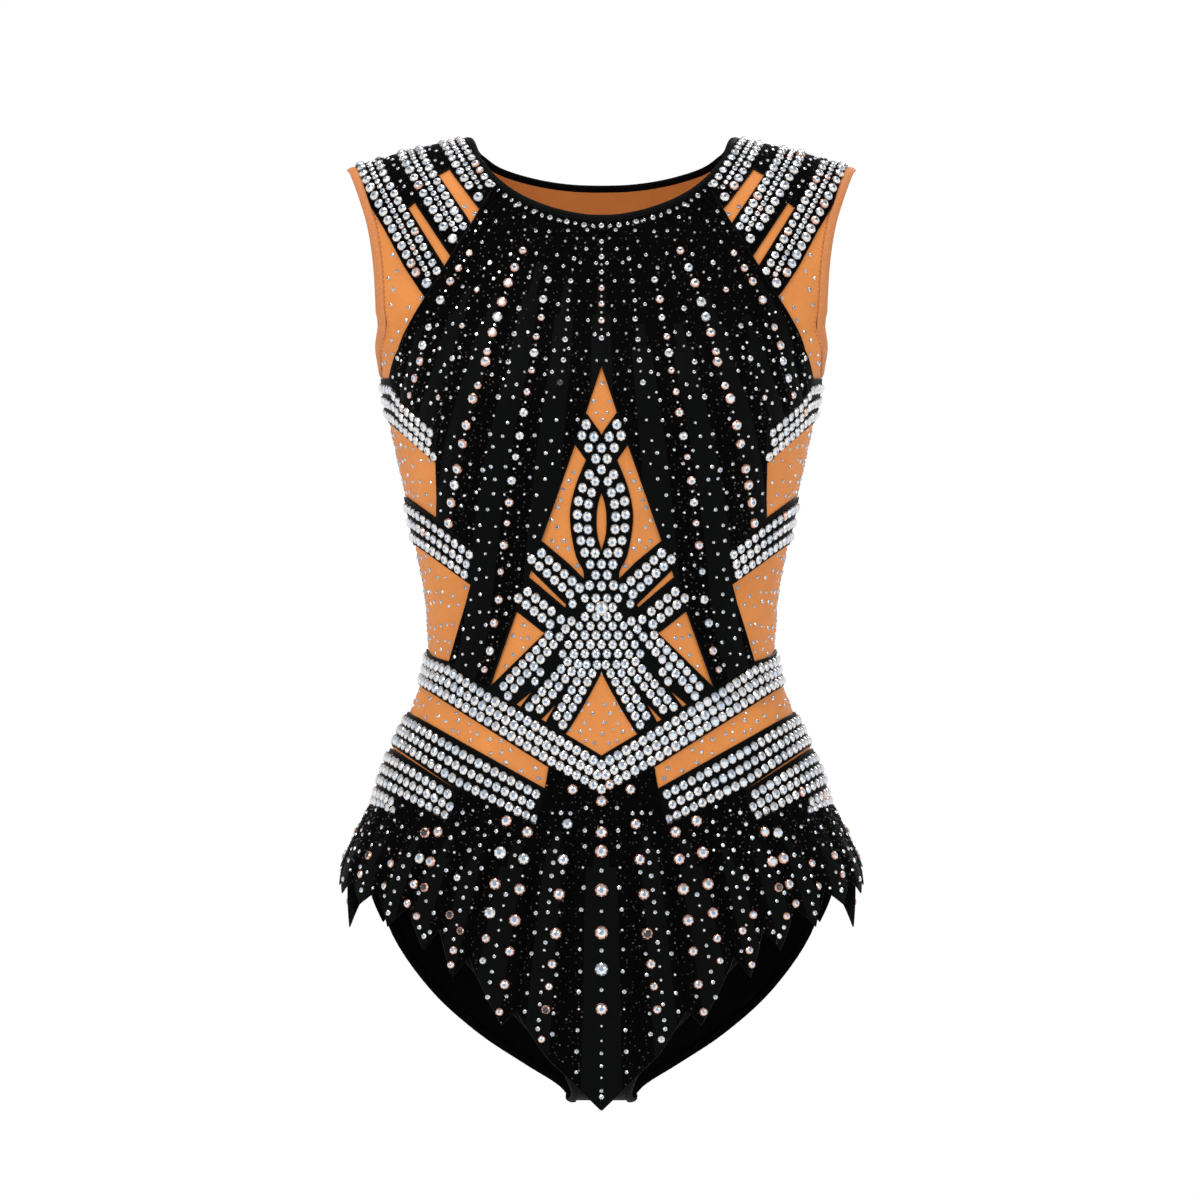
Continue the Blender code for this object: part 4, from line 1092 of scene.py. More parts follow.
# Radii from which a stone has the large or the small cut, and how deep a stone and a bead are sunk
LARGE_CUT = 2.15
SMALL_CUT = 1.25
STONE_SUNK = 0.15
BEAD_SUNK = 0.1

# Rows of a honeycomb are closer than its columns
ROW_SHARE = 0.87


def cut_stone(sides, rings, tiers):
    """A flat-backed stone of unit radius: rings of facets and a flat table, each facet with its tier."""
    points, faces, facets = [], [], []
    for row, (radius, height) in enumerate(rings):
        for turn in np.arange(sides) * 2 * math.pi / sides + math.pi / sides * (row % 2):
            points.append((math.cos(turn) * radius, math.sin(turn) * radius, height))
    for row in range(len(rings) - 1):
        shift = row % 2
        for j in range(sides):
            k = (j + 1) % sides
            a, b = row * sides + j, row * sides + k
            c = (row + 1) * sides + (k if shift else j)
            d = (row + 1) * sides + (j + 1 + shift) % sides
            faces += [[a, b, c], [b, d, c]]
            facets += [tiers[row], tiers[row]]
    faces.append(list(range(sides))[::-1])
    faces.append([(len(rings) - 1) * sides + j for j in range(sides)])
    return np.array(points), faces, facets + [tiers[0], tiers[-1]]


# Tiers of a stone's facets, from its foot: the cup, the outer and inner crown, and the table
CUP, OUTER, INNER, TABLE = range(4)
LARGE_STONE = cut_stone(
    8, ((0.97, 0.0), (1.0, 0.2), (0.92, 0.4), (0.68, 0.62), (0.34, 0.77)), (CUP, CUP, OUTER, INNER, TABLE)
)
SMALL_STONE = cut_stone(6, ((1.0, 0.0), (0.94, 0.38), (0.5, 0.7)), (OUTER, INNER, TABLE))
TINY_STONE = cut_stone(5, ((1.0, 0.0), (0.62, 0.7)), (INNER, INNER))

# The tint of each tier by the stone's kind: white, ice, rose, smoke and pearl grey. The blue tables
# are a painted highlight, and the rose and ice outer crowns a painted rim reflection of the pearl
# coating; the pearl grey kind's ice crown is partly its own tint
WHITE_GLASS, ICE_TINT_AND_RIM_REFLECTION, ROSE_RIM_REFLECTION, SMOKE_GLASS, BLUE_TABLE_HIGHLIGHT, ROSE_CUP, STEEL_CUP = range(7)
STONE_KINDS = (
    (STEEL_CUP, WHITE_GLASS, WHITE_GLASS, BLUE_TABLE_HIGHLIGHT),
    (STEEL_CUP, ICE_TINT_AND_RIM_REFLECTION, WHITE_GLASS, BLUE_TABLE_HIGHLIGHT),
    (ROSE_CUP, ROSE_RIM_REFLECTION, WHITE_GLASS, BLUE_TABLE_HIGHLIGHT),
    (ROSE_CUP, ROSE_RIM_REFLECTION, SMOKE_GLASS, SMOKE_GLASS),
    (STEEL_CUP, ICE_TINT_AND_RIM_REFLECTION, ICE_TINT_AND_RIM_REFLECTION, STEEL_CUP),
)

# How the kinds share each place
BELT_TINTS = (0.7, 0.28, 0.02)
MOTIF_TINTS = (0.62, 0.38)
SHOULDER_TINTS = (0.6, 0.34, 0.06)
NECK_TINTS = (0.8, 0.15, 0.05)
COLUMN_TINTS = (0.2, 0.05, 0.73, 0.02)
COLUMN_SMALL_TINTS = (0.5, 0.1, 0.4)
SCATTER_TINTS = (0.9, 0.1)
SKIRT_TINTS = (0.18, 0.04, 0.72, 0.06)
SKIRT_SMALL_TINTS = (0.78, 0.12, 0.1)
NET_TINTS = (0.1, 0.0, 0.0, 0.0, 0.9)


def upright(up, spin, sizes, oval=1.0):
    """Three axes for each thing that stands on cloth, turned by its spin and as long as its size."""
    beside = unit(np.cross(up, (0.0, 0.0, 1.0)))
    across = beside * np.cos(spin)[:, None] + np.cross(up, beside) * np.sin(spin)[:, None]
    return np.stack((across, np.cross(up, across) * oval, up), axis=1) * sizes[:, None, None]


class Stones:
    """Stones that are gathered on one carrier: pattern places, sizes, tints, and clear of each other."""

    def __init__(self, figure=BODY, relief=worn, height=OVER_LAYER[1], seed=1):
        self.figure = figure
        self.relief = relief
        self.height = height
        self.random = np.random.default_rng(seed)
        self.rows = []
        self.cells = {}

    def add(self, spots, radius, tints, spacing=0.95):
        """Adds stones where none is yet, and the twin of each on the other side. tints: a share a kind."""
        spots = np.reshape(np.asarray(spots, float), (-1, 2))
        radii = np.broadcast_to(radius, len(spots))
        off = ~on_plane(spots[:, 0])
        spots = np.concatenate((spots, mirrored(spots)[off]))
        radii = np.concatenate((radii, radii[off]))
        for (angle, station), size, place in zip(spots, radii, self.figure.points(*spots.T)):
            if station < RIDGE_CLEAR and self.free(place, size, spacing):
                tint = int(np.searchsorted(np.cumsum(tints), self.random.random() * sum(tints)))
                self.rows.append((angle, station, size * self.random.uniform(0.96, 1.04), tint))
                cell = tuple(int(v // CELL) for v in place)
                self.cells.setdefault(cell, []).append((place, size))

    def free(self, place, size, spacing):
        """Whether a stone of this size has room there."""
        for cell in itertools.product(*(range(int(v // CELL) - 1, int(v // CELL) + 2) for v in place)):
            for other, other_size in self.cells.get(cell, ()):
                if np.sum((place - other) ** 2) < ((size + other_size) * spacing) ** 2:
                    return False
        return True

    def build(self, name, slot, oval=1.0):
        """The stones as one object, each turned at random and leaning a little. Ovals stand upright."""
        angles, stations, sizes, tints = np.array(self.rows).T
        normals = self.figure.normals(angles, stations)
        rise = self.height - STONE_SUNK + self.relief(angles, stations)
        places = self.figure.points(angles, stations) + normals * rise[:, None]
        up = unit(normals + self.random.normal(0.0, 0.05, normals.shape))
        spin = self.random.uniform(0, 2 * math.pi, len(sizes)) * (1.0 if oval == 1.0 else 0.02)
        gathered = Joined()
        for place, axes, size, tint in zip(places, upright(up, spin, sizes, oval), sizes, tints):
            cut = LARGE_STONE if size > LARGE_CUT else SMALL_STONE if size > SMALL_CUT else TINY_STONE
            solid, faces, facets = cut
            gathered.add(stood(solid, place, axes), faces, [STONE_KINDS[int(tint)][tier] for tier in facets])
        return gathered.build(name, STONE_FINISHES, slot)


def scatter_beads(name, spots, figure, relief, random):
    """Black glass beads on both sides of the piece, as one object."""
    spots = np.vstack((spots, mirrored(spots)))
    solid, faces, _ = TINY_STONE
    up = figure.normals(*spots.T)
    places = figure.points(*spots.T) + up * (OVER_LAYER[1] - BEAD_SUNK + relief(*spots.T))[:, None]
    spin, sizes = random.uniform((0.0, 0.6), (2 * math.pi, 0.95), (len(spots), 2)).T
    gathered = Joined()
    for place, axes in zip(places, upright(up, spin, sizes)):
        gathered.add(stood(solid, place, axes), faces)
    gathered.build(name, [BEADS], "black_velvet")


def inside(outline, spots):
    """Whether pattern points lie inside an outline of the left half."""
    shape = np.array(outline)
    x, y = spots.T
    within = np.zeros(len(spots), bool)
    for (ax, ay), (bx, by) in zip(shape, np.roll(shape, -1, axis=0)):
        crosses = (ay > y) != (by > y)
        at = (bx - ax) * (y - ay) / np.where(by == ay, 1e-12, by - ay) + ax
        within ^= crosses & (x < at)
    return within


def from_edge(outline, spots, figure=BODY, seams=()):
    """How far pattern points are from an outline in millimetres, apart from its mirror line and seams."""
    starts = np.array(outline)
    runs = np.roll(starts, -1, axis=0) - starts
    edge = (runs[:, 0] != 0.0) | ~np.isin(starts[:, 0], (0.0, BACK_ANGLE, *seams))
    edges = starts[edge][:, None] + runs[edge][:, None] * np.arange(6)[:, None] / 6
    places = figure.points(*edges.reshape(-1, 2).T)
    wanted = figure.points(*spots.T)
    nearest = np.full(len(spots), 1e9)
    for start in range(0, len(places), 64):
        gap = np.linalg.norm(wanted[:, None, :] - places[None, start : start + 64, :], axis=2)
        nearest = np.minimum(nearest, gap.min(axis=1))
    return nearest


def clear(outline, spots, margin, figure=BODY, aside=0.0):
    """Which spots lie on a piece and past a margin from its edges. aside tells its centre line's side."""
    keep = inside(outline, spots + (aside, 0.0))
    keep[keep] = from_edge(outline, spots[keep], figure) > margin
    return keep


def row_of(line, pitch, start=0.0, fit=False):
    """Pattern places a pitch apart along a line. start is in pitches. fit makes the last one end it."""
    fine = sample(line, even_steps(np.array(line, float), 0.6))
    run = run_along(BODY.points(*fine.T))
    if fit:
        pitch = run[-1] / max(1, round(run[-1] / pitch))
    return sample(fine, np.interp(np.arange(start * pitch, run[-1] + 1e-4, pitch), run, np.arange(len(fine))))


def belt_rows(stones, outline, upper, lower, count, radius, pitch):
    """Rows of stones between a belt's two edges, staggered like a honeycomb."""
    upper = np.array(sorted(upper))
    lower = np.array(sorted(lower))
    low, high = min(upper[0, 0], lower[0, 0]), max(upper[-1, 0], lower[-1, 0])
    angles = np.arange(low, high + 0.01, 0.25)
    top, foot = [np.interp(angles, *edge.T) for edge in (upper, lower)]
    back = angles[0] > SIDE_ANGLE - 1
    for row in range(count):
        share = 0.53 + (row - (count - 1) / 2) * 0.93 / count
        line = np.stack((angles, top + (foot - top) * share), axis=1)
        start = 0.5 if row % 2 else 1.0 if back else 0.0
        spots = row_of(line if back else line[::-1], pitch, start, fit=True)
        keep = inside(outline, spots - (0.0 if back else 0.01, 0.0))
        keep &= from_edge(outline, spots, seams=(SIDE_ANGLE,)) > radius * 0.62
        keep |= on_plane(spots[:, 0]) & inside(outline, spots + (-0.01 if back else 0.01, 0.0))
        stones.add(spots[keep], radius, BELT_TINTS, spacing=0.8)


def honeycomb(low, high, top, foot, pitch, random, jitter):
    """Pattern places in a jittered honeycomb over a patch of the left half."""
    width = pitch / DEGREE_MM
    spots = []
    for number, station in enumerate(np.arange(foot, top, pitch * ROW_SHARE)):
        spots += [(angle, station) for angle in np.arange(low + width / 2 * (number % 2), high, width)]
    return np.array(spots) + random.normal(0, jitter, (len(spots), 2)) * (1 / DEGREE_MM, 1.0)


# Materials


def linear(hex_colour):
    """An sRGB hex colour as linear values."""
    channels = [int(hex_colour[i : i + 2], 16) / 255 for i in (0, 2, 4)]
    return tuple(c / 12.92 if c <= 0.04045 else ((c + 0.055) / 1.055) ** 2.4 for c in channels) + (1.0,)


def dimmed(colour, share):
    """A darker tone of a colour."""
    return tuple(c * share for c in colour[:3]) + (1.0,)


def add_node(tree, kind, settings=None, **inputs):
    """Adds a node with its settings. Each input is a value, or the output that it is linked to."""
    node = tree.nodes.new(kind)
    for name, value in (settings or {}).items():
        setattr(node, name, value)
    for name, value in inputs.items():
        number = int(name[5:]) if name.startswith("input") else name.replace("_", " ")
        if isinstance(value, bpy.types.NodeSocket):
            tree.links.new(value, node.inputs[number])
        else:
            node.inputs[number].default_value = value
    return node


def reckon(tree, operation, *values):
    """The result of an operation on numbers or outputs."""
    inputs = {f"input{n}": value for n, value in enumerate(values)}
    return add_node(tree, "ShaderNodeMath", {"operation": operation}, **inputs).outputs[0]


def ramp(tree, value, *stops):
    """A colour that follows a value from stop to stop, each a place and a colour."""
    node = add_node(tree, "ShaderNodeValToRGB", Fac=value)
    elements = node.color_ramp.elements
    while len(elements) < len(stops):
        elements.new(1.0)
    for element, (place, colour) in zip(elements, stops):
        element.position = place
        element.color = colour
    return node.outputs["Color"]


def start_material(name, **constants):
    """A new material with its node tree, its shader, and the pattern in metres."""
    material = bpy.data.materials.new(name)
    material.use_nodes = True
    tree = material.node_tree
    shader = tree.nodes["Principled BSDF"]
    for socket, value in constants.items():
        shader.inputs[socket.replace("_", " ")].default_value = value
    pattern = add_node(tree, "ShaderNodeUVMap", {"uv_map": "pattern"}).outputs["UV"]
    return material, tree, shader, pattern


def colour_by(tree, shader, colour, other=None, share=1.0, how="MIX"):
    """Gives the shader its base colour, or a share of another one over it."""
    if other is not None:
        settings = {"data_type": "RGBA", "blend_type": how}
        mixed = add_node(tree, "ShaderNodeMix", settings, input0=share, input6=colour, input7=other)
        colour = mixed.outputs[2]
    tree.links.new(colour, shader.inputs["Base Color"])


def roughen(tree, shader, height, strength, distance=0.0003):
    """Bumps the surface by a height."""
    bump = add_node(tree, "ShaderNodeBump", Strength=strength, Distance=distance, Height=height)
    tree.links.new(bump.outputs["Normal"], shader.inputs["Normal"])


def grained(name, scale, dark, light, detail=2.0, bump=0.0, **constants):
    """A material whose tone follows a noise in the piece's own place. dark and light are ramp stops."""
    material, tree, shader, _ = start_material(name, **constants)
    place = add_node(tree, "ShaderNodeTexCoord").outputs["Object"]
    noise = add_node(tree, "ShaderNodeTexNoise", Vector=place, Scale=scale, Detail=detail).outputs["Fac"]
    colour_by(tree, shader, ramp(tree, noise, dark, light))
    if bump:
        roughen(tree, shader, noise, bump)
    return material


def power_net(name):
    """Nylon and elastane power net, warp knitted: small open cells between dull tan threads.

    It gives the eye an even, skin-warm tan with a faint grain and a soft sheen at its turns.
    """
    material, tree, shader, pattern = start_material(
        name, Roughness=0.68, IOR=1.5, Specular_IOR_Level=0.3, Sheen_Weight=0.03, Sheen_Roughness=0.5
    )
    # A real cell is 0.7 mm across, drawn at 1.3 mm, or it would be finer than the render shows
    cells = add_node(tree, "ShaderNodeTexVoronoi", Vector=pattern, Scale=1000 / 1.3, Randomness=0.6)
    # Patches 38 mm across, where the net is stretched a little more or less
    patch = 1000 / 38
    patches = add_node(tree, "ShaderNodeTexNoise", Vector=pattern, Scale=patch, Detail=3.0, Roughness=0.55)
    thread = tuple(bpy.context.scene.leotard_colours.net)
    holes = ramp(tree, cells.outputs["Distance"], (0.06, dimmed(thread, 0.78)), (0.34, thread))
    shade = ramp(tree, patches.outputs["Fac"], (0.3, (0.86, 0.84, 0.82, 1.0)), (0.7, (1.0, 1.0, 1.0, 1.0)))
    colour_by(tree, shader, holes, shade, how="MULTIPLY")
    roughen(tree, shader, cells.outputs["Distance"], 0.3)
    return material


def stretch_velvet(name):
    """Black polyester stretch velvet with a short brushed pile and woven-in dull sequin dust.

    It drinks nearly all light, with a soft sheen along the folds and a few brown and grey glints.
    """
    material, tree, shader, pattern = start_material(
        name, IOR=1.5, Specular_IOR_Level=0.03, Sheen_Weight=0.003, Sheen_Roughness=0.45
    )
    # Each fleck is 1 to 2 mm across, as thick as the real beads and paillettes
    flecks = add_node(tree, "ShaderNodeTexVoronoi", Vector=pattern, Scale=1000 / 1.9, Randomness=1.0)
    chance = add_node(tree, "ShaderNodeSeparateColor", Color=flecks.outputs["Color"])
    chosen = reckon(tree, "GREATER_THAN", chance.outputs[0], 0.86)
    glint = reckon(tree, "MULTIPLY", chosen, reckon(tree, "LESS_THAN", flecks.outputs["Distance"], 0.3))
    browns = ((0.0, "1d1714"), (0.5, "32251e"), (0.85, "453a35"), (1.0, "8b827f"))
    tone = ramp(tree, chance.outputs[1], *((place, linear(brown)) for place, brown in browns))
    pile = add_node(tree, "ShaderNodeTexNoise", Vector=pattern, Scale=1000 / 1.1, Detail=4.0, Roughness=0.7)
    base = tuple(bpy.context.scene.leotard_colours.velvet)
    cloth = ramp(tree, pile.outputs["Fac"], (0.35, dimmed(base, 0.4)), (0.75, base))
    colour_by(tree, shader, cloth, tone, glint)
    gloss = add_node(tree, "ShaderNodeMapRange", Value=glint, To_Min=0.85, To_Max=0.35)
    tree.links.new(gloss.outputs[0], shader.inputs["Roughness"])
    roughen(tree, shader, reckon(tree, "MULTIPLY_ADD", glint, 0.8, pile.outputs["Fac"]), 0.6, 0.0005)
    return material


def satin_knit(name):
    """Black nylon and elastane satin knit, warp knitted and calendered.

    It gives the eye a deep black with a low, even gloss that follows the fold, and a fine rib.
    """
    material, tree, shader, pattern = start_material(
        name, Roughness=0.6, IOR=1.5, Specular_IOR_Level=0.045, Sheen_Weight=0.001, Sheen_Roughness=0.4
    )
    # The knit's wales are 0.5 mm apart, drawn at 1 mm so that they show
    bands = {"wave_type": "BANDS", "bands_direction": "X"}
    uneven_a_little = {"Distortion": 0.6, "Detail": 1.0}
    scale = 1000 / 1.0 / 6.283
    wales = add_node(tree, "ShaderNodeTexWave", bands, Vector=pattern, Scale=scale, **uneven_a_little)
    cloud = add_node(tree, "ShaderNodeTexNoise", Vector=pattern, Scale=1000 / 22, Detail=4.0)
    base = tuple(bpy.context.scene.leotard_colours.satin)
    colour_by(tree, shader, ramp(tree, cloud.outputs["Fac"], (0.3, dimmed(base, 0.55)), (0.75, base)))
    roughen(tree, shader, wales.outputs["Fac"], 0.3)
    return material


def covered_cord(name):
    """Black satin piping, a bias strip stitched round a thin cord: low gloss on its round top."""
    stops = (0.3, linear("020202")), (0.75, linear("080808"))
    gloss = {"Roughness": 0.5, "IOR": 1.5, "Specular_IOR_Level": 0.05}
    return grained(name, 1400.0, *stops, detail=3.0, bump=0.4, **gloss)


def rolled_binding(name):
    """Tan knitted binding tape, folded over the edge: a dull rib across its roll."""
    base = tuple(bpy.context.scene.leotard_colours.binding)
    stops = (0.3, dimmed(base, 0.7)), (0.7, base)
    return grained(name, 1100.0, *stops, detail=3.0, bump=0.4, Roughness=0.66, IOR=1.5, Sheen_Weight=0.03)


def spun_thread(name, hex_colour):
    """Polyester sewing thread, spun from two plies: a faint twist and a dull shine."""
    base = linear(hex_colour)
    stops = (0.35, dimmed(base, 0.6)), (0.65, base)
    return grained(name, 2600.0, *stops, Roughness=0.55, IOR=1.55, Sheen_Weight=0.1)


def pearled_glass(name, hex_colour, film, roughness=0.07):
    """Machine-cut lead-free glass with a foiled back and a vapour-laid pearl coating.

    Its foil throws back nearly all light. The blue at its middle and the rose at its rim come partly
    from the thin film and partly from painted base colours of those facet tiers: a painted highlight
    on the table and a painted rim reflection on the outer crown. The film's thickness is in nanometres.
    Clouds 3 mm across stand for the uneven coating, which differs from stone to stone.
    """
    base = linear(hex_colour)
    coat = {"Coat_Weight": 0.6, "Coat_Roughness": 0.03, "Thin_Film_Thickness": film, "Thin_Film_IOR": 1.38}
    stops = (0.32, dimmed(base, 0.78)), (0.62, base)
    return grained(name, 330.0, *stops, detail=1.0, Metallic=0.72, Roughness=roughness, IOR=1.52, **coat)


def stone_cup(name, worn_tone, bright_tone):
    """Stamped brass stone cups, plated: a thin rim round each larger stone, darker where it is worn."""
    stops = (0.35, linear(worn_tone)), (0.65, linear(bright_tone))
    return grained(name, 400.0, *stops, Metallic=1.0, Roughness=0.3)


def jet_bead(name):
    """Black pressed glass beads, fire polished: near black with small hard highlights."""
    stops = (0.4, linear("060505")), (0.62, linear("1e1713"))
    return grained(name, 160.0, *stops, Roughness=0.3, IOR=1.52, Specular_IOR_Level=0.4)


def studio_paper(name):
    """Seamless white background paper, uncoated: matt, and all but even in tone."""
    stops = (0.0, linear("f6f6f5")), (1.0, linear("fbfbfb"))
    return grained(name, 3.0, *stops, Roughness=0.95, IOR=1.45)


# Each material's name, how it is made, and what its maker is told. The stones' own are the last ones,
# in the order of their numbers
NET = "tan_power_net_warp_knitted"
VELVET = "black_stretch_velvet_brushed"
SATIN = "black_satin_knit_calendered"
PIPING = "black_satin_piping_covered"
TAPE = "tan_binding_tape_rolled"
BEADS = "black_glass_bead_polished"
TAN_THREAD = "tan_polyester_thread_spun"
BLACK_THREAD = "black_polyester_thread_spun"
PAPER = "white_background_paper_uncoated"
MAKERS = {
    NET: (power_net,),
    VELVET: (stretch_velvet,),
    SATIN: (satin_knit,),
    PIPING: (covered_cord,),
    TAPE: (rolled_binding,),
    BEADS: (jet_bead,),
    TAN_THREAD: (spun_thread, "b9743e"),
    BLACK_THREAD: (spun_thread, "1b1b1c"),
    PAPER: (studio_paper,),
    "glass_stone_white_pearled": (pearled_glass, "e9e5e2", 380.0),
    # Painted rim reflection of the coating: the ice and rose of the outer crowns; ice is also the pearl grey
    # kind's own tint
    "glass_stone_ice_pearled": (pearled_glass, "c2cedc", 460.0),
    "glass_stone_rose_pearled": (pearled_glass, "e0ab97", 300.0),
    "glass_stone_smoke_cut": (pearled_glass, "3a3b42", 420.0, 0.1),
    # Painted highlight: the blue of the stones' tables
    "glass_stone_blue_pearled": (pearled_glass, "88a6c6", 500.0),
    "brass_stone_cup_rose_plated": (stone_cup, "6b463a", "d0a896"),
    "brass_stone_cup_steel_plated": (stone_cup, "55514e", "b8b3ae"),
}
STONE_FINISHES = list(MAKERS)[-STEEL_CUP - 1 :]


def named(name):
    """The material of a name, made the first time that it is asked for."""
    make, *told = MAKERS[name]
    return bpy.data.materials.get(name) or make(name, *told)


# Sizes and colours that a user may change


def size(name, about, default, low, high):
    """A size in millimetres."""
    about = about + ", in millimetres"
    return bpy.props.FloatProperty(name=name, description=about, default=default, min=low, max=high)


def colour(name, about, hex_colour):
    """A colour, from its sRGB hex values."""
    return bpy.props.FloatVectorProperty(
        name=name, description=about, subtype="COLOR", size=4, default=linear(hex_colour), min=0.0, max=1.0
    )


class ClothSizes(bpy.types.PropertyGroup):
    """Sizes of the folds, edges and sewing."""

    gather_height: size("Gather height", "How far the bodice's gathers stand out", 1.25, 0.2, 3.0)
    pleat_height: size("Pleat height", "How far the petals stand over their folds at the hem", 4.4, 0.6, 8.0)
    cord_radius: size("Piping radius", "Half the thickness of the black piping", 0.8, 0.3, 2.0)
    hem_radius: size("Hem roll radius", "Half the thickness of the skirt's rolled edge", 0.5, 0.2, 1.5)
    stitch_length: size("Stitch length", "Length of one stitch of the cover seams", 2.4, 1.0, 5.0)
    thread_width: size("Thread width", "Thickness of the sewing thread as drawn", 0.55, 0.2, 1.5)


class StoneSizes(bpy.types.PropertyGroup):
    """Radii and spacings of the stones."""

    belt_radius: size("Belt stone radius", "Stones of the belts", 3.4, 1.0, 5.0)
    belt_pitch: size("Belt stone pitch", "From one belt stone to the next", 6.45, 3.0, 12.0)
    motif_radius: size("Motif stone radius", "Stones of the centre motif", 3.3, 1.0, 5.0)
    scatter_radius: size("Scattered stone radius", "Small stones of the bodice and skirt", 1.32, 0.5, 3.0)
    scatter_pitch: size("Scattered stone pitch", "Spacing of the small white stones", 10.2, 4.0, 20.0)
    net_radius: size("Net stone radius", "Stones glued to the bare net", 1.42, 0.4, 2.0)
    net_pitch: size("Net stone pitch", "Spacing of the stones on the bare net", 10.4, 4.0, 25.0)


class ClothColours(bpy.types.PropertyGroup):
    """Colours of the cloths."""

    net: colour("Net", "Thread colour of the power net", "d88742")
    binding: colour("Armhole binding", "Colour of the armhole tape", "cf8146")
    velvet: colour("Velvet", "Colour of the black pile", "040404")
    satin: colour("Satin", "Colour of the smooth black knit", "040505")


# One operator for each piece or group of like pieces

SIDES = (("left", 1), ("right", -1))


class PieceOperator:
    """What the leotard's operators have in common."""

    bl_options = {"REGISTER", "UNDO"}


class LEOTARD_OT_net(PieceOperator, bpy.types.Operator):
    """Lays the tan net front and back that everything else is sewn to"""

    bl_idname = "leotard.net"
    bl_label = "Net body"

    def execute(self, context):
        front, back = net_outlines()
        for name, outline, flat, area in (
            ("front", front, (0.40, 0.52), 0.15),
            ("back", back, (0.40, 0.50), 0.144),
        ):
            made = Laid("net_" + name, outline, grid_cuts(outline), layer=NET_LAYER).build([NET])
            declare(made, "mesh_" + name)
        return {"FINISHED"}


class LEOTARD_OT_brief(PieceOperator, bpy.types.Operator):
    """Lays the black brief, front and back, with the folds that lead to the crotch"""

    bl_idname = "leotard.brief"
    bl_label = "Brief"

    def execute(self, context):
        _, front_leg, _, back_leg = leg_lines()
        for name, centre, top, leg, flat, area in (
            ("front", 0.0, NET_HEM_CENTRE, front_leg, (0.36, 0.22), 0.03),
            ("back", BACK_ANGLE, NET_HEM_SIDE, back_leg, (0.38, 0.26), 0.053),
        ):
            outline = [(centre, top), (SIDE_ANGLE, NET_HEM_SIDE)] + leg + [(centre, CROTCH_STATION)]
            cloth = f"brief_{name}_cloth"
            laid = Laid(cloth, outline, grid_cuts(outline), layer=BRIEF_LAYER, relief=worn_brief)
            declare(laid.build([SATIN]), "brief_" + name)
        return {"FINISHED"}


class LEOTARD_OT_bindings(PieceOperator, bpy.types.Operator):
    """Rolls the bindings round the neck, the armholes and the legs"""

    bl_idname = "leotard.bindings"
    bl_label = "Bindings"

    def execute(self, context):
        neck, neck_seam, back_neck, back_neck_seam = neck_lines()
        for place, around, lines, length in (
            ("front", 0.0, (neck, neck_seam), 0.24),
            ("back", 2 * BACK_ANGLE, (back_neck, back_neck_seam), 0.23),
        ):
            whole = [line + [(around - a, s) for a, s in line[-2::-1]] for line in lines]
            self.make("neck_binding_" + place, binding_mesh(*whole, 1), SATIN, "black_satin", length, 0.0055)
        arm, arm_seam, back_arm, back_arm_seam = arm_lines()
        leg, leg_seam, back_leg, back_leg_seam = leg_lines()
        loop = (leg[::-1] + back_leg[1:], leg_seam[::-1] + back_leg_seam[1:])
        for name, side in SIDES:
            for place, edge, seam in (("front", arm, arm_seam), ("back", back_arm, back_arm_seam)):
                tube = binding_mesh(edge, seam, side)
                self.make(f"arm_binding_{place}_{name}", tube, TAPE, "nude_mesh", 0.18, 0.006)
            tube = binding_mesh(*loop, side, closed=True)
            self.make("leg_binding_" + name, tube, SATIN, "black_satin", 0.56, 0.006)
        return {"FINISHED"}

    def make(self, node, tube, material, slot, length, width):
        """One binding as an object, with its own place as its UV map; its CAD piece is hidden. Its length and
        width are not used.
        """
        gathered = Joined()
        gathered.add(*tube)
        made = gathered.build(node + "_roll", [material], slot, smooth=True)
        write_plain_pattern(made)
        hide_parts(node)


def write_plain_pattern(made):
    """Keeps a piece's own place as its UV map in metres, where it has no flat pattern."""
    data = made.data
    places = np.empty(len(data.vertices) * 3)
    data.vertices.foreach_get("co", places)
    x, y, z = places.reshape(-1, 3)[corners(data)].T
    write_uv(data, np.stack((x + y, z), axis=1))


def bodice_stripes(angles, stations):
    """Smooth and flecked cloth in turn, a gather each, with the neck all flecked. Stripes start pointed."""
    fan = bodice_fan(angles, stations)
    number = np.floor(fan + 0.5).astype(int)
    below = -76.0 - 44.0 * uneven(number + 60, 13) - stations
    width = np.where(below > 16.0, 0.5, 0.25) * (below > 0.0)
    return np.where((number % 2 == 0) & (np.abs(fan - number) < width), 1, 0)


def skirt_stripes(angles, stations):
    """The crown of each petal is smooth, and the folds and the top are flecked."""
    number, share = petal_share(angles, stations)
    below = -448.0 - 26.0 * uneven(number, 14) - stations
    return np.where(np.abs(share - 0.5) < np.where(below > 14.0, 0.26, 0.13) * (below > 0.0), 1, 0)


class LEOTARD_OT_bodice(PieceOperator, bpy.types.Operator):
    """Gathers the black A-shaped front"""

    bl_idname = "leotard.bodice"
    bl_label = "Gathered bodice"

    def execute(self, context):
        outline = bodice_outline()
        cuts = []
        for i in range(1, BODICE_FAN_LINES):
            angle = BODICE_PLEAT_ANGLE * i / 4
            cuts.append(((angle, BODICE_FAN_STATION - BODICE_FAN_RUN), (angle / BODICE_FAN_RUN, -1.0)))
        cuts += [cut for cut in grid_cuts(outline, 1.5) if cut[1][1] == 0.0 or cut[0][0] > 50.0]
        laid = Laid("bodice_cloth", outline, cuts, relief=gathers)
        made = laid.build([VELVET, SATIN], bodice_stripes)
        declare(made, "bodice")
        laid.edged("bodice_piping", 1.7, context.scene.leotard_cloth.cord_radius)
        return {"FINISHED"}


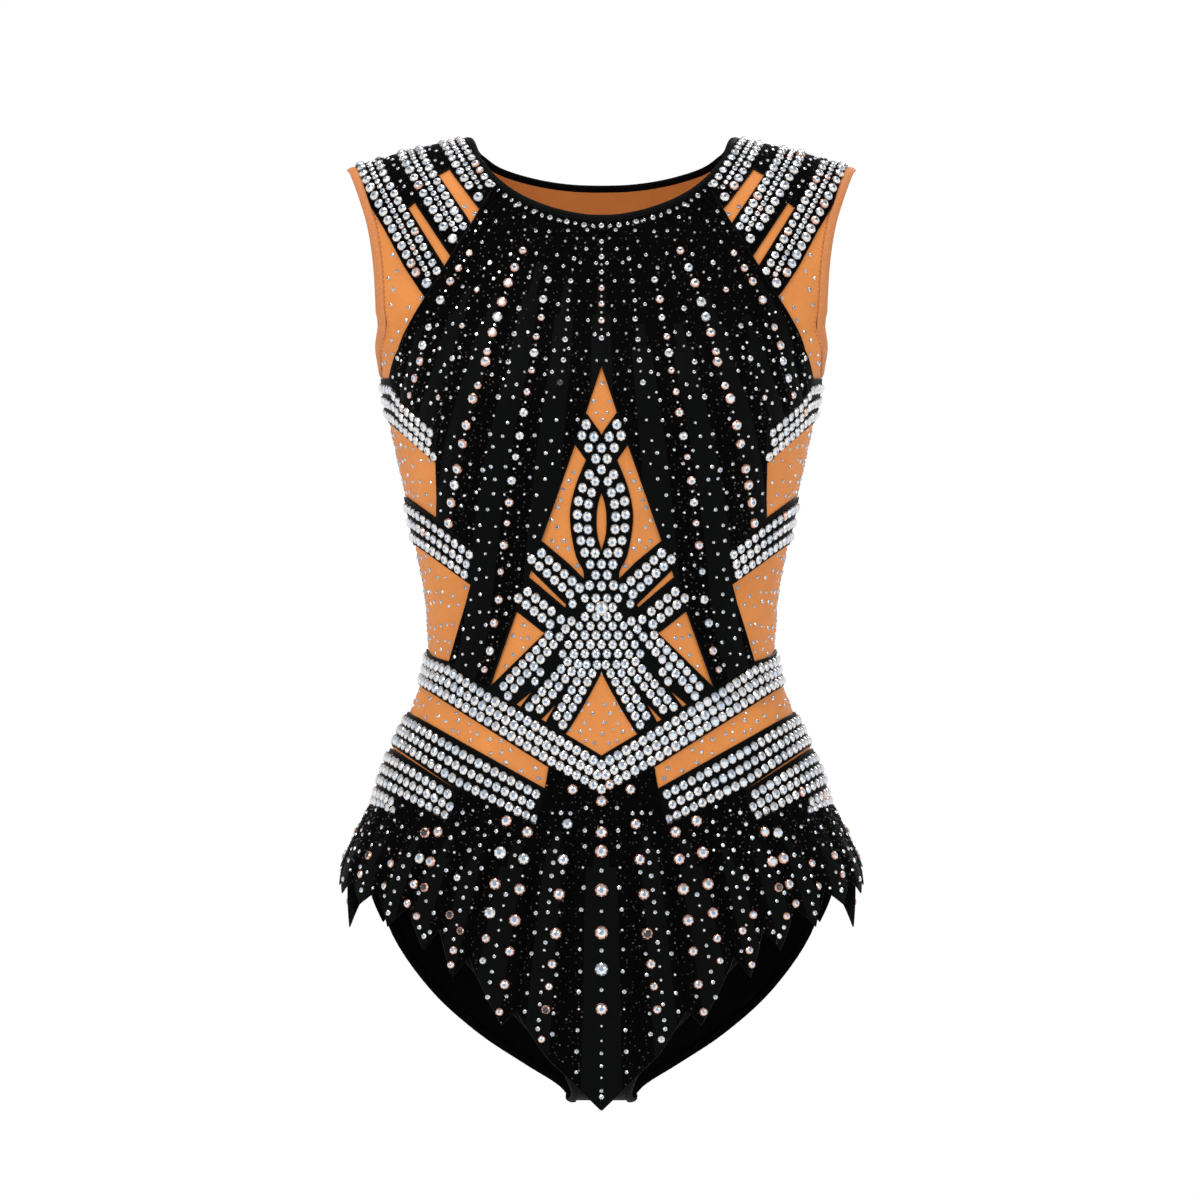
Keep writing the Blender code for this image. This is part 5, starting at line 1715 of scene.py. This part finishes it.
class LEOTARD_OT_overlays(PieceOperator, bpy.types.Operator):
    """Lays the black cloth of the shoulder pieces, side bands, belts and motif, each edged with piping"""

    bl_idname = "leotard.overlays"
    bl_label = "Shoulder pieces, bands, belts and motif"

    def execute(self, context):
        radius = context.scene.leotard_cloth.cord_radius
        outlines = {name: outline for name, (outline, _, _) in trims().items()}
        outlines["yoke"], outlines["yoke_back"] = yoke_outlines()
        outlines["motif"] = motif_outline()
        sided = tuple((f"_{name}", side) for name, side in SIDES)
        whole = (("", 0),)
        for part, sides, flat, area in (
            ("yoke", sided, (0.12, 0.13), 0.0068),
            ("yoke_back", sided, (0.09, 0.10), 0.0052),
            ("chest_band", sided, (0.10, 0.05), 0.0024),
            ("rib_band", sided, (0.10, 0.05), 0.0025),
            ("hip_belt", sided, (0.17, 0.05), 0.0038),
            ("hip_band", sided, (0.11, 0.05), 0.0023),
            ("hip_tab", sided, (0.06, 0.02), 0.0006),
            ("waist_belt_front", whole, (0.30, 0.085), 0.0082),
            ("waist_belt_back", whole, (0.33, 0.04), 0.0077),
            ("hip_belt_back", whole, (0.37, 0.04), 0.0089),
            ("hip_band_back", whole, (0.40, 0.04), 0.0102),
            ("motif", whole, (0.17, 0.23), 0.0135),
        ):
            material, slot = (VELVET, "black_velvet") if part.startswith("yoke") else (SATIN, "crystal_band")
            outline = outlines[part]
            for name, side in sides:
                laid = Laid(part + name + "_cloth", outline, grid_cuts(outline, 2.0, 5.0), side)
                declare(laid.build([material]), part + name)
                laid.edged(part + name + "_piping", 1.75, radius)
        return {"FINISHED"}


class LEOTARD_OT_skirt(PieceOperator, bpy.types.Operator):
    """Pleats the skirt, with a rolled edge along its pointed petals"""

    bl_idname = "leotard.skirt"
    bl_label = "Pleated skirt"

    def execute(self, context):
        front, back = skirt_outlines()
        for name, outline, petals, flat, area in (
            ("front", front, FRONT_PETALS, (0.62, 0.24), 0.062),
            ("back", back, BACK_PETALS, (0.66, 0.24), 0.066),
        ):
            cuts = [((0.0, level), (1.0, 0.0)) for level in np.arange(-417.0, -650.0, -6.0)]
            cuts += self.folds(petals)
            laid = Laid(f"skirt_{name}_cloth", outline, cuts, figure=SKIRT, relief=pleats)
            made = laid.build([VELVET, SATIN], skirt_stripes)
            declare(made, "skirt_" + name)
            laid.edged(f"skirt_{name}_hem", 1.8, context.scene.leotard_cloth.hem_radius, step=3.2)
        return {"FINISHED"}

    def folds(self, petals):
        """Cuts along the valleys and across the crowns of the petals."""
        cuts = []
        for petal in petals:
            low = PETALS[petal][3]
            for share in np.arange(8) / 8:
                top, foot = [across_petal(petal, station, share) for station in (SKIRT_PLEAT_TOP, low)]
                if top > 0.3:
                    cuts.append(((top, SKIRT_PLEAT_TOP), ((foot - top) / (low - SKIRT_PLEAT_TOP), 1.0)))
        return cuts


class LEOTARD_OT_belt_stones(PieceOperator, bpy.types.Operator):
    """Sets the rows of large stones on the belts and side bands"""

    bl_idname = "leotard.belt_stones"
    bl_label = "Stones of the belts and bands"

    def execute(self, context):
        sizes = context.scene.leotard_stones
        for number, (name, edges) in enumerate(trims().items()):
            back = name.endswith("_back")
            stones = Stones(seed=20 + number + 14 * back)
            radius = sizes.belt_radius * (0.97 if back else 1.0 if name == "waist_belt_front" else 0.95)
            belt_rows(stones, *edges, 2 if name == "hip_tab" else 3, radius, sizes.belt_pitch)
            stones.build("stones_" + name, "crystal_band", oval=1.1)
        return {"FINISHED"}


class LEOTARD_OT_motif_stones(PieceOperator, bpy.types.Operator):
    """Sets the stones of the crossed straps in the centre"""

    bl_idname = "leotard.motif_stones"
    bl_label = "Stones of the motif"

    def execute(self, context):
        radius = context.scene.leotard_stones.motif_radius
        outline = motif_outline()
        stones = Stones(seed=61)
        stones.add(spots_at((MOTIF_CENTRE,)), 4.7, (1.0,))
        stones.add(spots_at(MOTIF_LOOP_STONES), radius * 1.03, MOTIF_TINTS, spacing=0.8)
        for line in MOTIF_STRAP_LINES:
            for row, by in enumerate((-3.7, 3.7)):
                spots = row_of(seen(shifted(line, by)), radius * 2.1, row * 0.28)
                stones.add(spots, radius * 1.02, MOTIF_TINTS, spacing=0.84)
        rows, columns = np.meshgrid(np.arange(16), np.arange(9))
        x = (3.7 * (2 * columns + rows % 2)).ravel()
        z = (-294.8 - 6.3 * rows).ravel()
        fill = BODY.spots(x, z)
        keep = clear(outline, fill, radius * 0.75, aside=0.01)
        central = keep & (x < 9.0 + 0.22 * (-300.0 - z)) & (z > -343.0)
        stones.add(fill[central], radius * 0.98, MOTIF_TINTS, spacing=0.84)
        for line in MOTIF_RAY_LINES:
            for row, by in enumerate((-3.2, 3.2)):
                spots = row_of(seen(shifted(curve_through(line), by)), radius * 2.02, row * 0.5)
                spots = spots[clear(outline, spots, radius * 0.72)]
                stones.add(spots, radius * 0.97, MOTIF_TINTS, spacing=0.86)
        stones.add(fill[keep], radius * 0.9, MOTIF_TINTS, spacing=0.88)
        stones.build("stones_motif", "crystal_band", oval=1.1)
        return {"FINISHED"}


class LEOTARD_OT_shoulder_stones(PieceOperator, bpy.types.Operator):
    """Sets the rows of stones on the shoulder straps and along the neck"""

    bl_idname = "leotard.shoulder_stones"
    bl_label = "Stones of the shoulders and neck"

    def execute(self, context):
        stones = Stones(seed=71)
        for place in STRAP_END_STONES:
            stones.add(spots_at((place,)), 3.7, SHOULDER_TINTS)
        random = np.random.default_rng(72)
        for start, end, radius, pitch in STRAP_ROWS:
            spots = row_of(seen((start, end)), pitch, fit=True)
            radii = radius * random.uniform(0.92, 1.05, len(spots))
            stones.add(spots, radii, SHOULDER_TINTS, spacing=0.82)
        for number, x in enumerate(STRAP_BACK_ROWS):
            small = number % 3 == 1
            line = [ridge(x, True)] + seen(((x, -6.0), (x * 0.985, -29.0)), back=True)
            spots = row_of(line, 6.1, 0.5 if small else 0.25)
            stones.add(spots, 1.8 if small else 2.7, SHOULDER_TINTS, spacing=0.8)
        yoke, _ = yoke_outlines()
        spots = honeycomb(20.0, 75.0, 55.0, -95.0, 8.5, random, 0.8)
        stones.add(spots[clear(yoke, spots, 2.4)], 1.3, SHOULDER_TINTS, spacing=1.25)
        stones.build("stones_shoulders", "black_velvet")
        row = Stones(relief=gathers, seed=73)
        neck = neck_lines()[1]
        line = [(angle, station - 3.4) for angle, station in neck if angle < 34.0 and station < -21.0][::-1]
        spots = row_of(line, 5.9)
        spots[np.abs(spots[:, 0]) < 1e-6, 0] = 0.0
        row.add(spots, np.where(np.arange(len(spots)) % 2 == 0, 2.0, 1.35), NECK_TINTS)
        row.build("stones_neck_row", "black_velvet")
        return {"FINISHED"}


class LEOTARD_OT_bodice_stones(PieceOperator, bpy.types.Operator):
    """Sets the fanned columns and the scattered small stones of the bodice"""

    bl_idname = "leotard.bodice_stones"
    bl_label = "Stones of the bodice"

    def execute(self, context):
        sizes = context.scene.leotard_stones
        outline = bodice_outline()
        stones = Stones(relief=gathers, seed=81)
        random = np.random.default_rng(82)
        for share, radius, stations in BODICE_COLUMNS:
            stations = np.array(stations)
            grown = 1.28 * radius * np.clip(0.62 + (-60.0 - stations) / 90.0, 0.62, 1.0)
            grown = grown * np.where(random.random(len(stations)) > 0.3, 1.0, 0.8)
            spots = self.column(share, stations)
            spots[:, 0] += random.normal(0, 0.12, len(spots)) * (share > 0)
            keep = clear(outline, spots, 2.0, aside=0.01)
            stones.add(spots[keep], grown[keep], COLUMN_TINTS)
            spots = self.column(share, stations[:-1] + np.diff(stations) / 2)
            spots = spots[clear(outline, spots, 2.0, aside=0.01)]
            stones.add(spots, 1.1, COLUMN_SMALL_TINTS, spacing=1.15)
        for top, foot, closer in ((-44.0, -92.0, 0.86), (-99.0, -168.0, 0.98), (-176.0, -370.0, 1.12)):
            spots = honeycomb(0.0, 70.0, top, foot, sizes.scatter_pitch * closer, random, 1.5)
            spots = spots[(spots[:, 0] > 0.6) & clear(outline, spots, 3.2)]
            radii = sizes.scatter_radius * random.uniform(0.8, 1.12, len(spots))
            stones.add(spots, radii, SCATTER_TINTS, spacing=1.35)
        stones.build("stones_bodice", "black_velvet")
        random = np.random.default_rng(83)
        spots = honeycomb(0.0, 70.0, -44.0, -370.0, 6.0, random, 1.2)
        spots = spots[clear(outline, spots, 1.8)]
        spots = spots[bodice_stripes(*spots.T) == 0]
        scatter_beads("beads_bodice", spots, BODY, gathers, random)
        return {"FINISHED"}

    def column(self, share, stations):
        """Places down one line of the fan."""
        return np.stack((share * (BODICE_FAN_STATION - stations), stations), axis=1)


class LEOTARD_OT_skirt_stones(PieceOperator, bpy.types.Operator):
    """Sets the columns of stones down the skirt's petals"""

    bl_idname = "leotard.skirt_stones"
    bl_label = "Stones of the skirt"

    def execute(self, context):
        radius = context.scene.leotard_stones.scatter_radius
        front, back = skirt_outlines()
        random = np.random.default_rng(92)
        stones = Stones(SKIRT, pleats, seed=91)
        x, z, radii = np.array(SKIRT_STONES).T
        stones.add(SKIRT.spots(x, z), radii * 1.32, SKIRT_TINTS)
        self.trim(stones, front, "front", FRONT_PETALS, random, radius)
        stones = Stones(SKIRT, pleats, seed=93)
        for petal in BACK_PETALS:
            stations = np.arange(-458.0 - 4 * (petal % 2), PETALS[petal][1] + 16.0, -17.0)
            angles = across_petal(petal, stations, 0.5)
            if petal == len(PETALS) - 1:
                angles = np.full(len(stations), BACK_ANGLE)
            stones.add(np.stack((angles, stations), axis=1), 3.5, SKIRT_TINTS)
        self.trim(stones, back, "back", BACK_PETALS, random, radius)
        return {"FINISHED"}

    def trim(self, stones, outline, name, petals, random, radius):
        """Small stones between the large ones, on the tips, and black beads in the folds."""
        aside = 0.01 if name == "front" else -0.01
        for petal in petals:
            tip_angle, tip = PETALS[petal][:2]
            stones.add((tip_angle, tip + 9.0), 1.9, SCATTER_TINTS)
            for share, step in ((0.5, 8.6), (0.2, 13.5), (0.8, 13.5)):
                stations = np.arange(-444.0 - 2.5 * (petal % 3), tip + 10.0, -step)
                angles = across_petal(petal, stations, share)
                angles = angles + random.normal(0, 0.15, len(angles)) * (share != 0.5)
                if on_plane(tip_angle):
                    angles = np.abs(angles) if share != 0.5 else np.full(len(stations), tip_angle)
                spots = np.stack((angles, stations + random.normal(0, 0.8, len(stations))), axis=1)
                spots = spots[clear(outline, spots, 2.4, SKIRT, aside)]
                radii = radius * random.uniform(0.85, 1.3, len(spots))
                stones.add(spots, radii, SKIRT_SMALL_TINTS, spacing=1.12)
        low, high = (0.0, 93.0) if name == "front" else (SIDE_ANGLE, BACK_ANGLE)
        spots = honeycomb(low, high, -412.0, -640.0, 6.2, random, 1.2)
        spots = spots[clear(outline, spots, 1.8, SKIRT)]
        scatter_beads("beads_skirt_" + name, spots[skirt_stripes(*spots.T) == 0], SKIRT, pleats, random)
        stones.build("stones_skirt_" + name, "black_velvet")


class LEOTARD_OT_net_stones(PieceOperator, bpy.types.Operator):
    """Glues the tiny stones to the bare net"""

    bl_idname = "leotard.net_stones"
    bl_label = "Stones of the net"

    def execute(self, context):
        sizes = context.scene.leotard_stones
        random = np.random.default_rng(101)
        over = [bodice_outline(), motif_outline(), *yoke_outlines(), *skirt_outlines()]
        over += [outline for outline, _, _ in trims().values()]
        front, back = net_outlines()
        for name, outline, patches in (
            ("front", front, ((0.0, 47.0, 0.72), (49.0, SIDE_ANGLE, 1.2))),
            ("back", back, ((SIDE_ANGLE, BACK_ANGLE, 1.35),)),
        ):
            stones = Stones(height=NET_LAYER[1], seed=102)
            spots = np.vstack(
                [
                    honeycomb(low, high, 50.0, -470.0, sizes.net_pitch * wider, random, wider * 1.6)
                    for low, high, wider in patches
                ]
            )
            spots = spots[clear(outline, spots, 2.6)]
            for shape in over:
                spots = spots[~inside(shape, spots)]
                spots = spots[from_edge(shape, spots) > 2.5]
            radii = sizes.net_radius * random.uniform(0.85, 1.15, len(spots))
            stones.add(spots, radii, NET_TINTS, spacing=1.7)
            stones.build("stones_net_" + name, "nude_mesh")
        return {"FINISHED"}


class LEOTARD_OT_sewing(PieceOperator, bpy.types.Operator):
    """Sews the cover stitches beside the bindings and down the side seams"""

    bl_idname = "leotard.sewing"
    bl_label = "Stitches"

    def execute(self, context):
        back_neck_seam = neck_lines()[3]
        _, arm_seam, _, back_arm_seam = arm_lines()
        _, leg_seam, _, back_leg_seam = leg_lines()
        tan = Joined()
        black = Joined()
        height = NET_LAYER[1] + 0.05
        for _, side in SIDES:
            for seam, by in ((arm_seam, 1.6), (back_arm_seam, -1.6)):
                sew(tan, self.inward(seam, by, high=52.0), side, height)
            for angle in (SIDE_ANGLE - 0.8, SIDE_ANGLE + 0.8):
                line = [(angle, ARMPIT_STATION - 8.0), (angle, WAIST_BELT_SIDE[0] + 1.0)]
                sew(tan, split_line(line), side, height)
            for seam, by in ((leg_seam, 1.6), (back_leg_seam, -1.6)):
                sew(black, self.inward(seam, by, low=-630.0), side, BRIEF_LAYER[1] + 0.05, worn_brief)
            sew(tan, self.inward(back_neck_seam, 1.6, high=52.0), side, height)
        tan.build("stitches_tan", [TAN_THREAD], "nude_mesh", True)
        black.build("stitches_black", [BLACK_THREAD], "black_satin", True)
        return {"FINISHED"}

    def inward(self, seam, by, low=CROTCH_STATION, high=SHOULDER_STATION):
        """The seam's line moved into the cloth, away from the opening, between two stations."""
        moved = shifted([(angle * DEGREE_MM, station) for angle, station in seam], by)
        return [(across / DEGREE_MM, station) for across, station in moved if low < station < high]


class LEOTARD_OT_stage(PieceOperator, bpy.types.Operator):
    """Sets up the white floor, the pale room, the soft lights and the camera"""

    bl_idname = "leotard.stage"
    bl_label = "Studio"

    def execute(self, context):
        scene = context.scene
        self.paper()
        for light in (
            ("key_softbox", (-1.5, -2.6, 1.5), 1.0, 1.0, 34.0, (1.0, 0.98, 0.96)),
            ("fill_softbox", (1.9, -2.4, 0.4), 1.2, 1.4, 10.0, (0.96, 0.98, 1.0)),
            ("back_softbox", (1.2, 2.8, 1.2), 1.2, 1.2, 26.0, (1.0, 1.0, 1.0)),
            ("top_softbox", (0.0, -0.2, 2.6), 2.0, 2.0, 60.0, (1.0, 1.0, 1.0)),
        ):
            self.softbox(*light)
        scene.world = self.room()
        data = bpy.data.cameras.new("camera")
        data.lens = 500.0
        data.sensor_width = 36.0
        data.clip_end = 40.0
        scene.camera = self.put("camera", data, (-0.001, -11.333, -0.3026))
        scene.camera.rotation_euler = (math.radians(90), 0.0, 0.0)
        scene.view_settings.view_transform = "Standard"
        return {"FINISHED"}

    def put(self, name, data, place):
        """An object in the scene that isn't part of the garment."""
        made = bpy.data.objects.new(name, data)
        made.location = place
        bpy.context.scene.collection.objects.link(made)
        return made

    def paper(self):
        """A round sheet of paper on the floor."""
        mesh = bmesh.new()
        bmesh.ops.create_circle(mesh, cap_ends=True, segments=96, radius=2.3)
        data = bpy.data.meshes.new("paper_floor")
        mesh.to_mesh(data)
        mesh.free()
        data.materials.append(named(PAPER))
        self.put("paper_floor", data, (0.0, 0.0, -0.80))

    def softbox(self, name, place, width, height, power, tint):
        """A large soft light that points at the garment's middle."""
        data = bpy.data.lights.new(name, "AREA")
        data.shape = "RECTANGLE"
        data.size = width
        data.size_y = height
        data.energy = power
        data.color = tint
        x, y, z = np.array((0.0, 0.0, -0.3)) - place
        lamp = self.put(name, data, place)
        lamp.rotation_euler = (math.radians(90) + math.atan2(z, math.hypot(x, y)), 0.0, -math.atan2(x, y))

    def room(self):
        """A room with white walls and a grey ceiling."""
        world = bpy.data.worlds.new("pale_room")
        world.use_nodes = True
        tree = world.node_tree
        place = add_node(tree, "ShaderNodeTexCoord").outputs["Generated"]
        height = add_node(tree, "ShaderNodeSeparateXYZ", Vector=place).outputs["Z"]
        background = tree.nodes["Background"]
        walls = ramp(tree, height, (0.3, (1.0, 1.0, 1.0, 1.0)), (0.6, (0.3, 0.31, 0.33, 1.0)))
        tree.links.new(walls, background.inputs["Color"])
        background.inputs["Strength"].default_value = 1.02
        return world


class LEOTARD_PT_panel(bpy.types.Panel):
    """Sizes, colours and the pieces of the leotard"""

    bl_idname = "LEOTARD_PT_panel"
    bl_label = "Competition leotard"
    bl_space_type = "VIEW_3D"
    bl_region_type = "UI"
    bl_category = "Leotard"

    def draw(self, context):
        layout = self.layout
        scene = context.scene
        for group in (scene.leotard_cloth, scene.leotard_stones, scene.leotard_colours):
            box = layout.box()
            for name in group.bl_rna.properties.keys():
                if name not in ("rna_type", "name"):
                    box.prop(group, name)
        for operator in OPERATORS:
            layout.operator(operator.bl_idname)


OPERATORS = (
    LEOTARD_OT_stage,
    LEOTARD_OT_net,
    LEOTARD_OT_brief,
    LEOTARD_OT_bindings,
    LEOTARD_OT_bodice,
    LEOTARD_OT_overlays,
    LEOTARD_OT_skirt,
    LEOTARD_OT_belt_stones,
    LEOTARD_OT_motif_stones,
    LEOTARD_OT_shoulder_stones,
    LEOTARD_OT_bodice_stones,
    LEOTARD_OT_skirt_stones,
    LEOTARD_OT_net_stones,
    LEOTARD_OT_sewing,
)
CLASSES = (ClothSizes, StoneSizes, ClothColours) + OPERATORS + (LEOTARD_PT_panel,)


def register():
    for item in CLASSES:
        bpy.utils.register_class(item)
    bpy.types.Scene.leotard_cloth = bpy.props.PointerProperty(type=ClothSizes)
    bpy.types.Scene.leotard_stones = bpy.props.PointerProperty(type=StoneSizes)
    bpy.types.Scene.leotard_colours = bpy.props.PointerProperty(type=ClothColours)


def unregister():
    del bpy.types.Scene.leotard_colours
    del bpy.types.Scene.leotard_stones
    del bpy.types.Scene.leotard_cloth
    for item in reversed(CLASSES):
        bpy.utils.unregister_class(item)


def main():
    register()
    for operator in OPERATORS:
        group, name = operator.bl_idname.split(".")
        getattr(getattr(bpy.ops, group), name)()


if __name__ == "__main__":
    main()
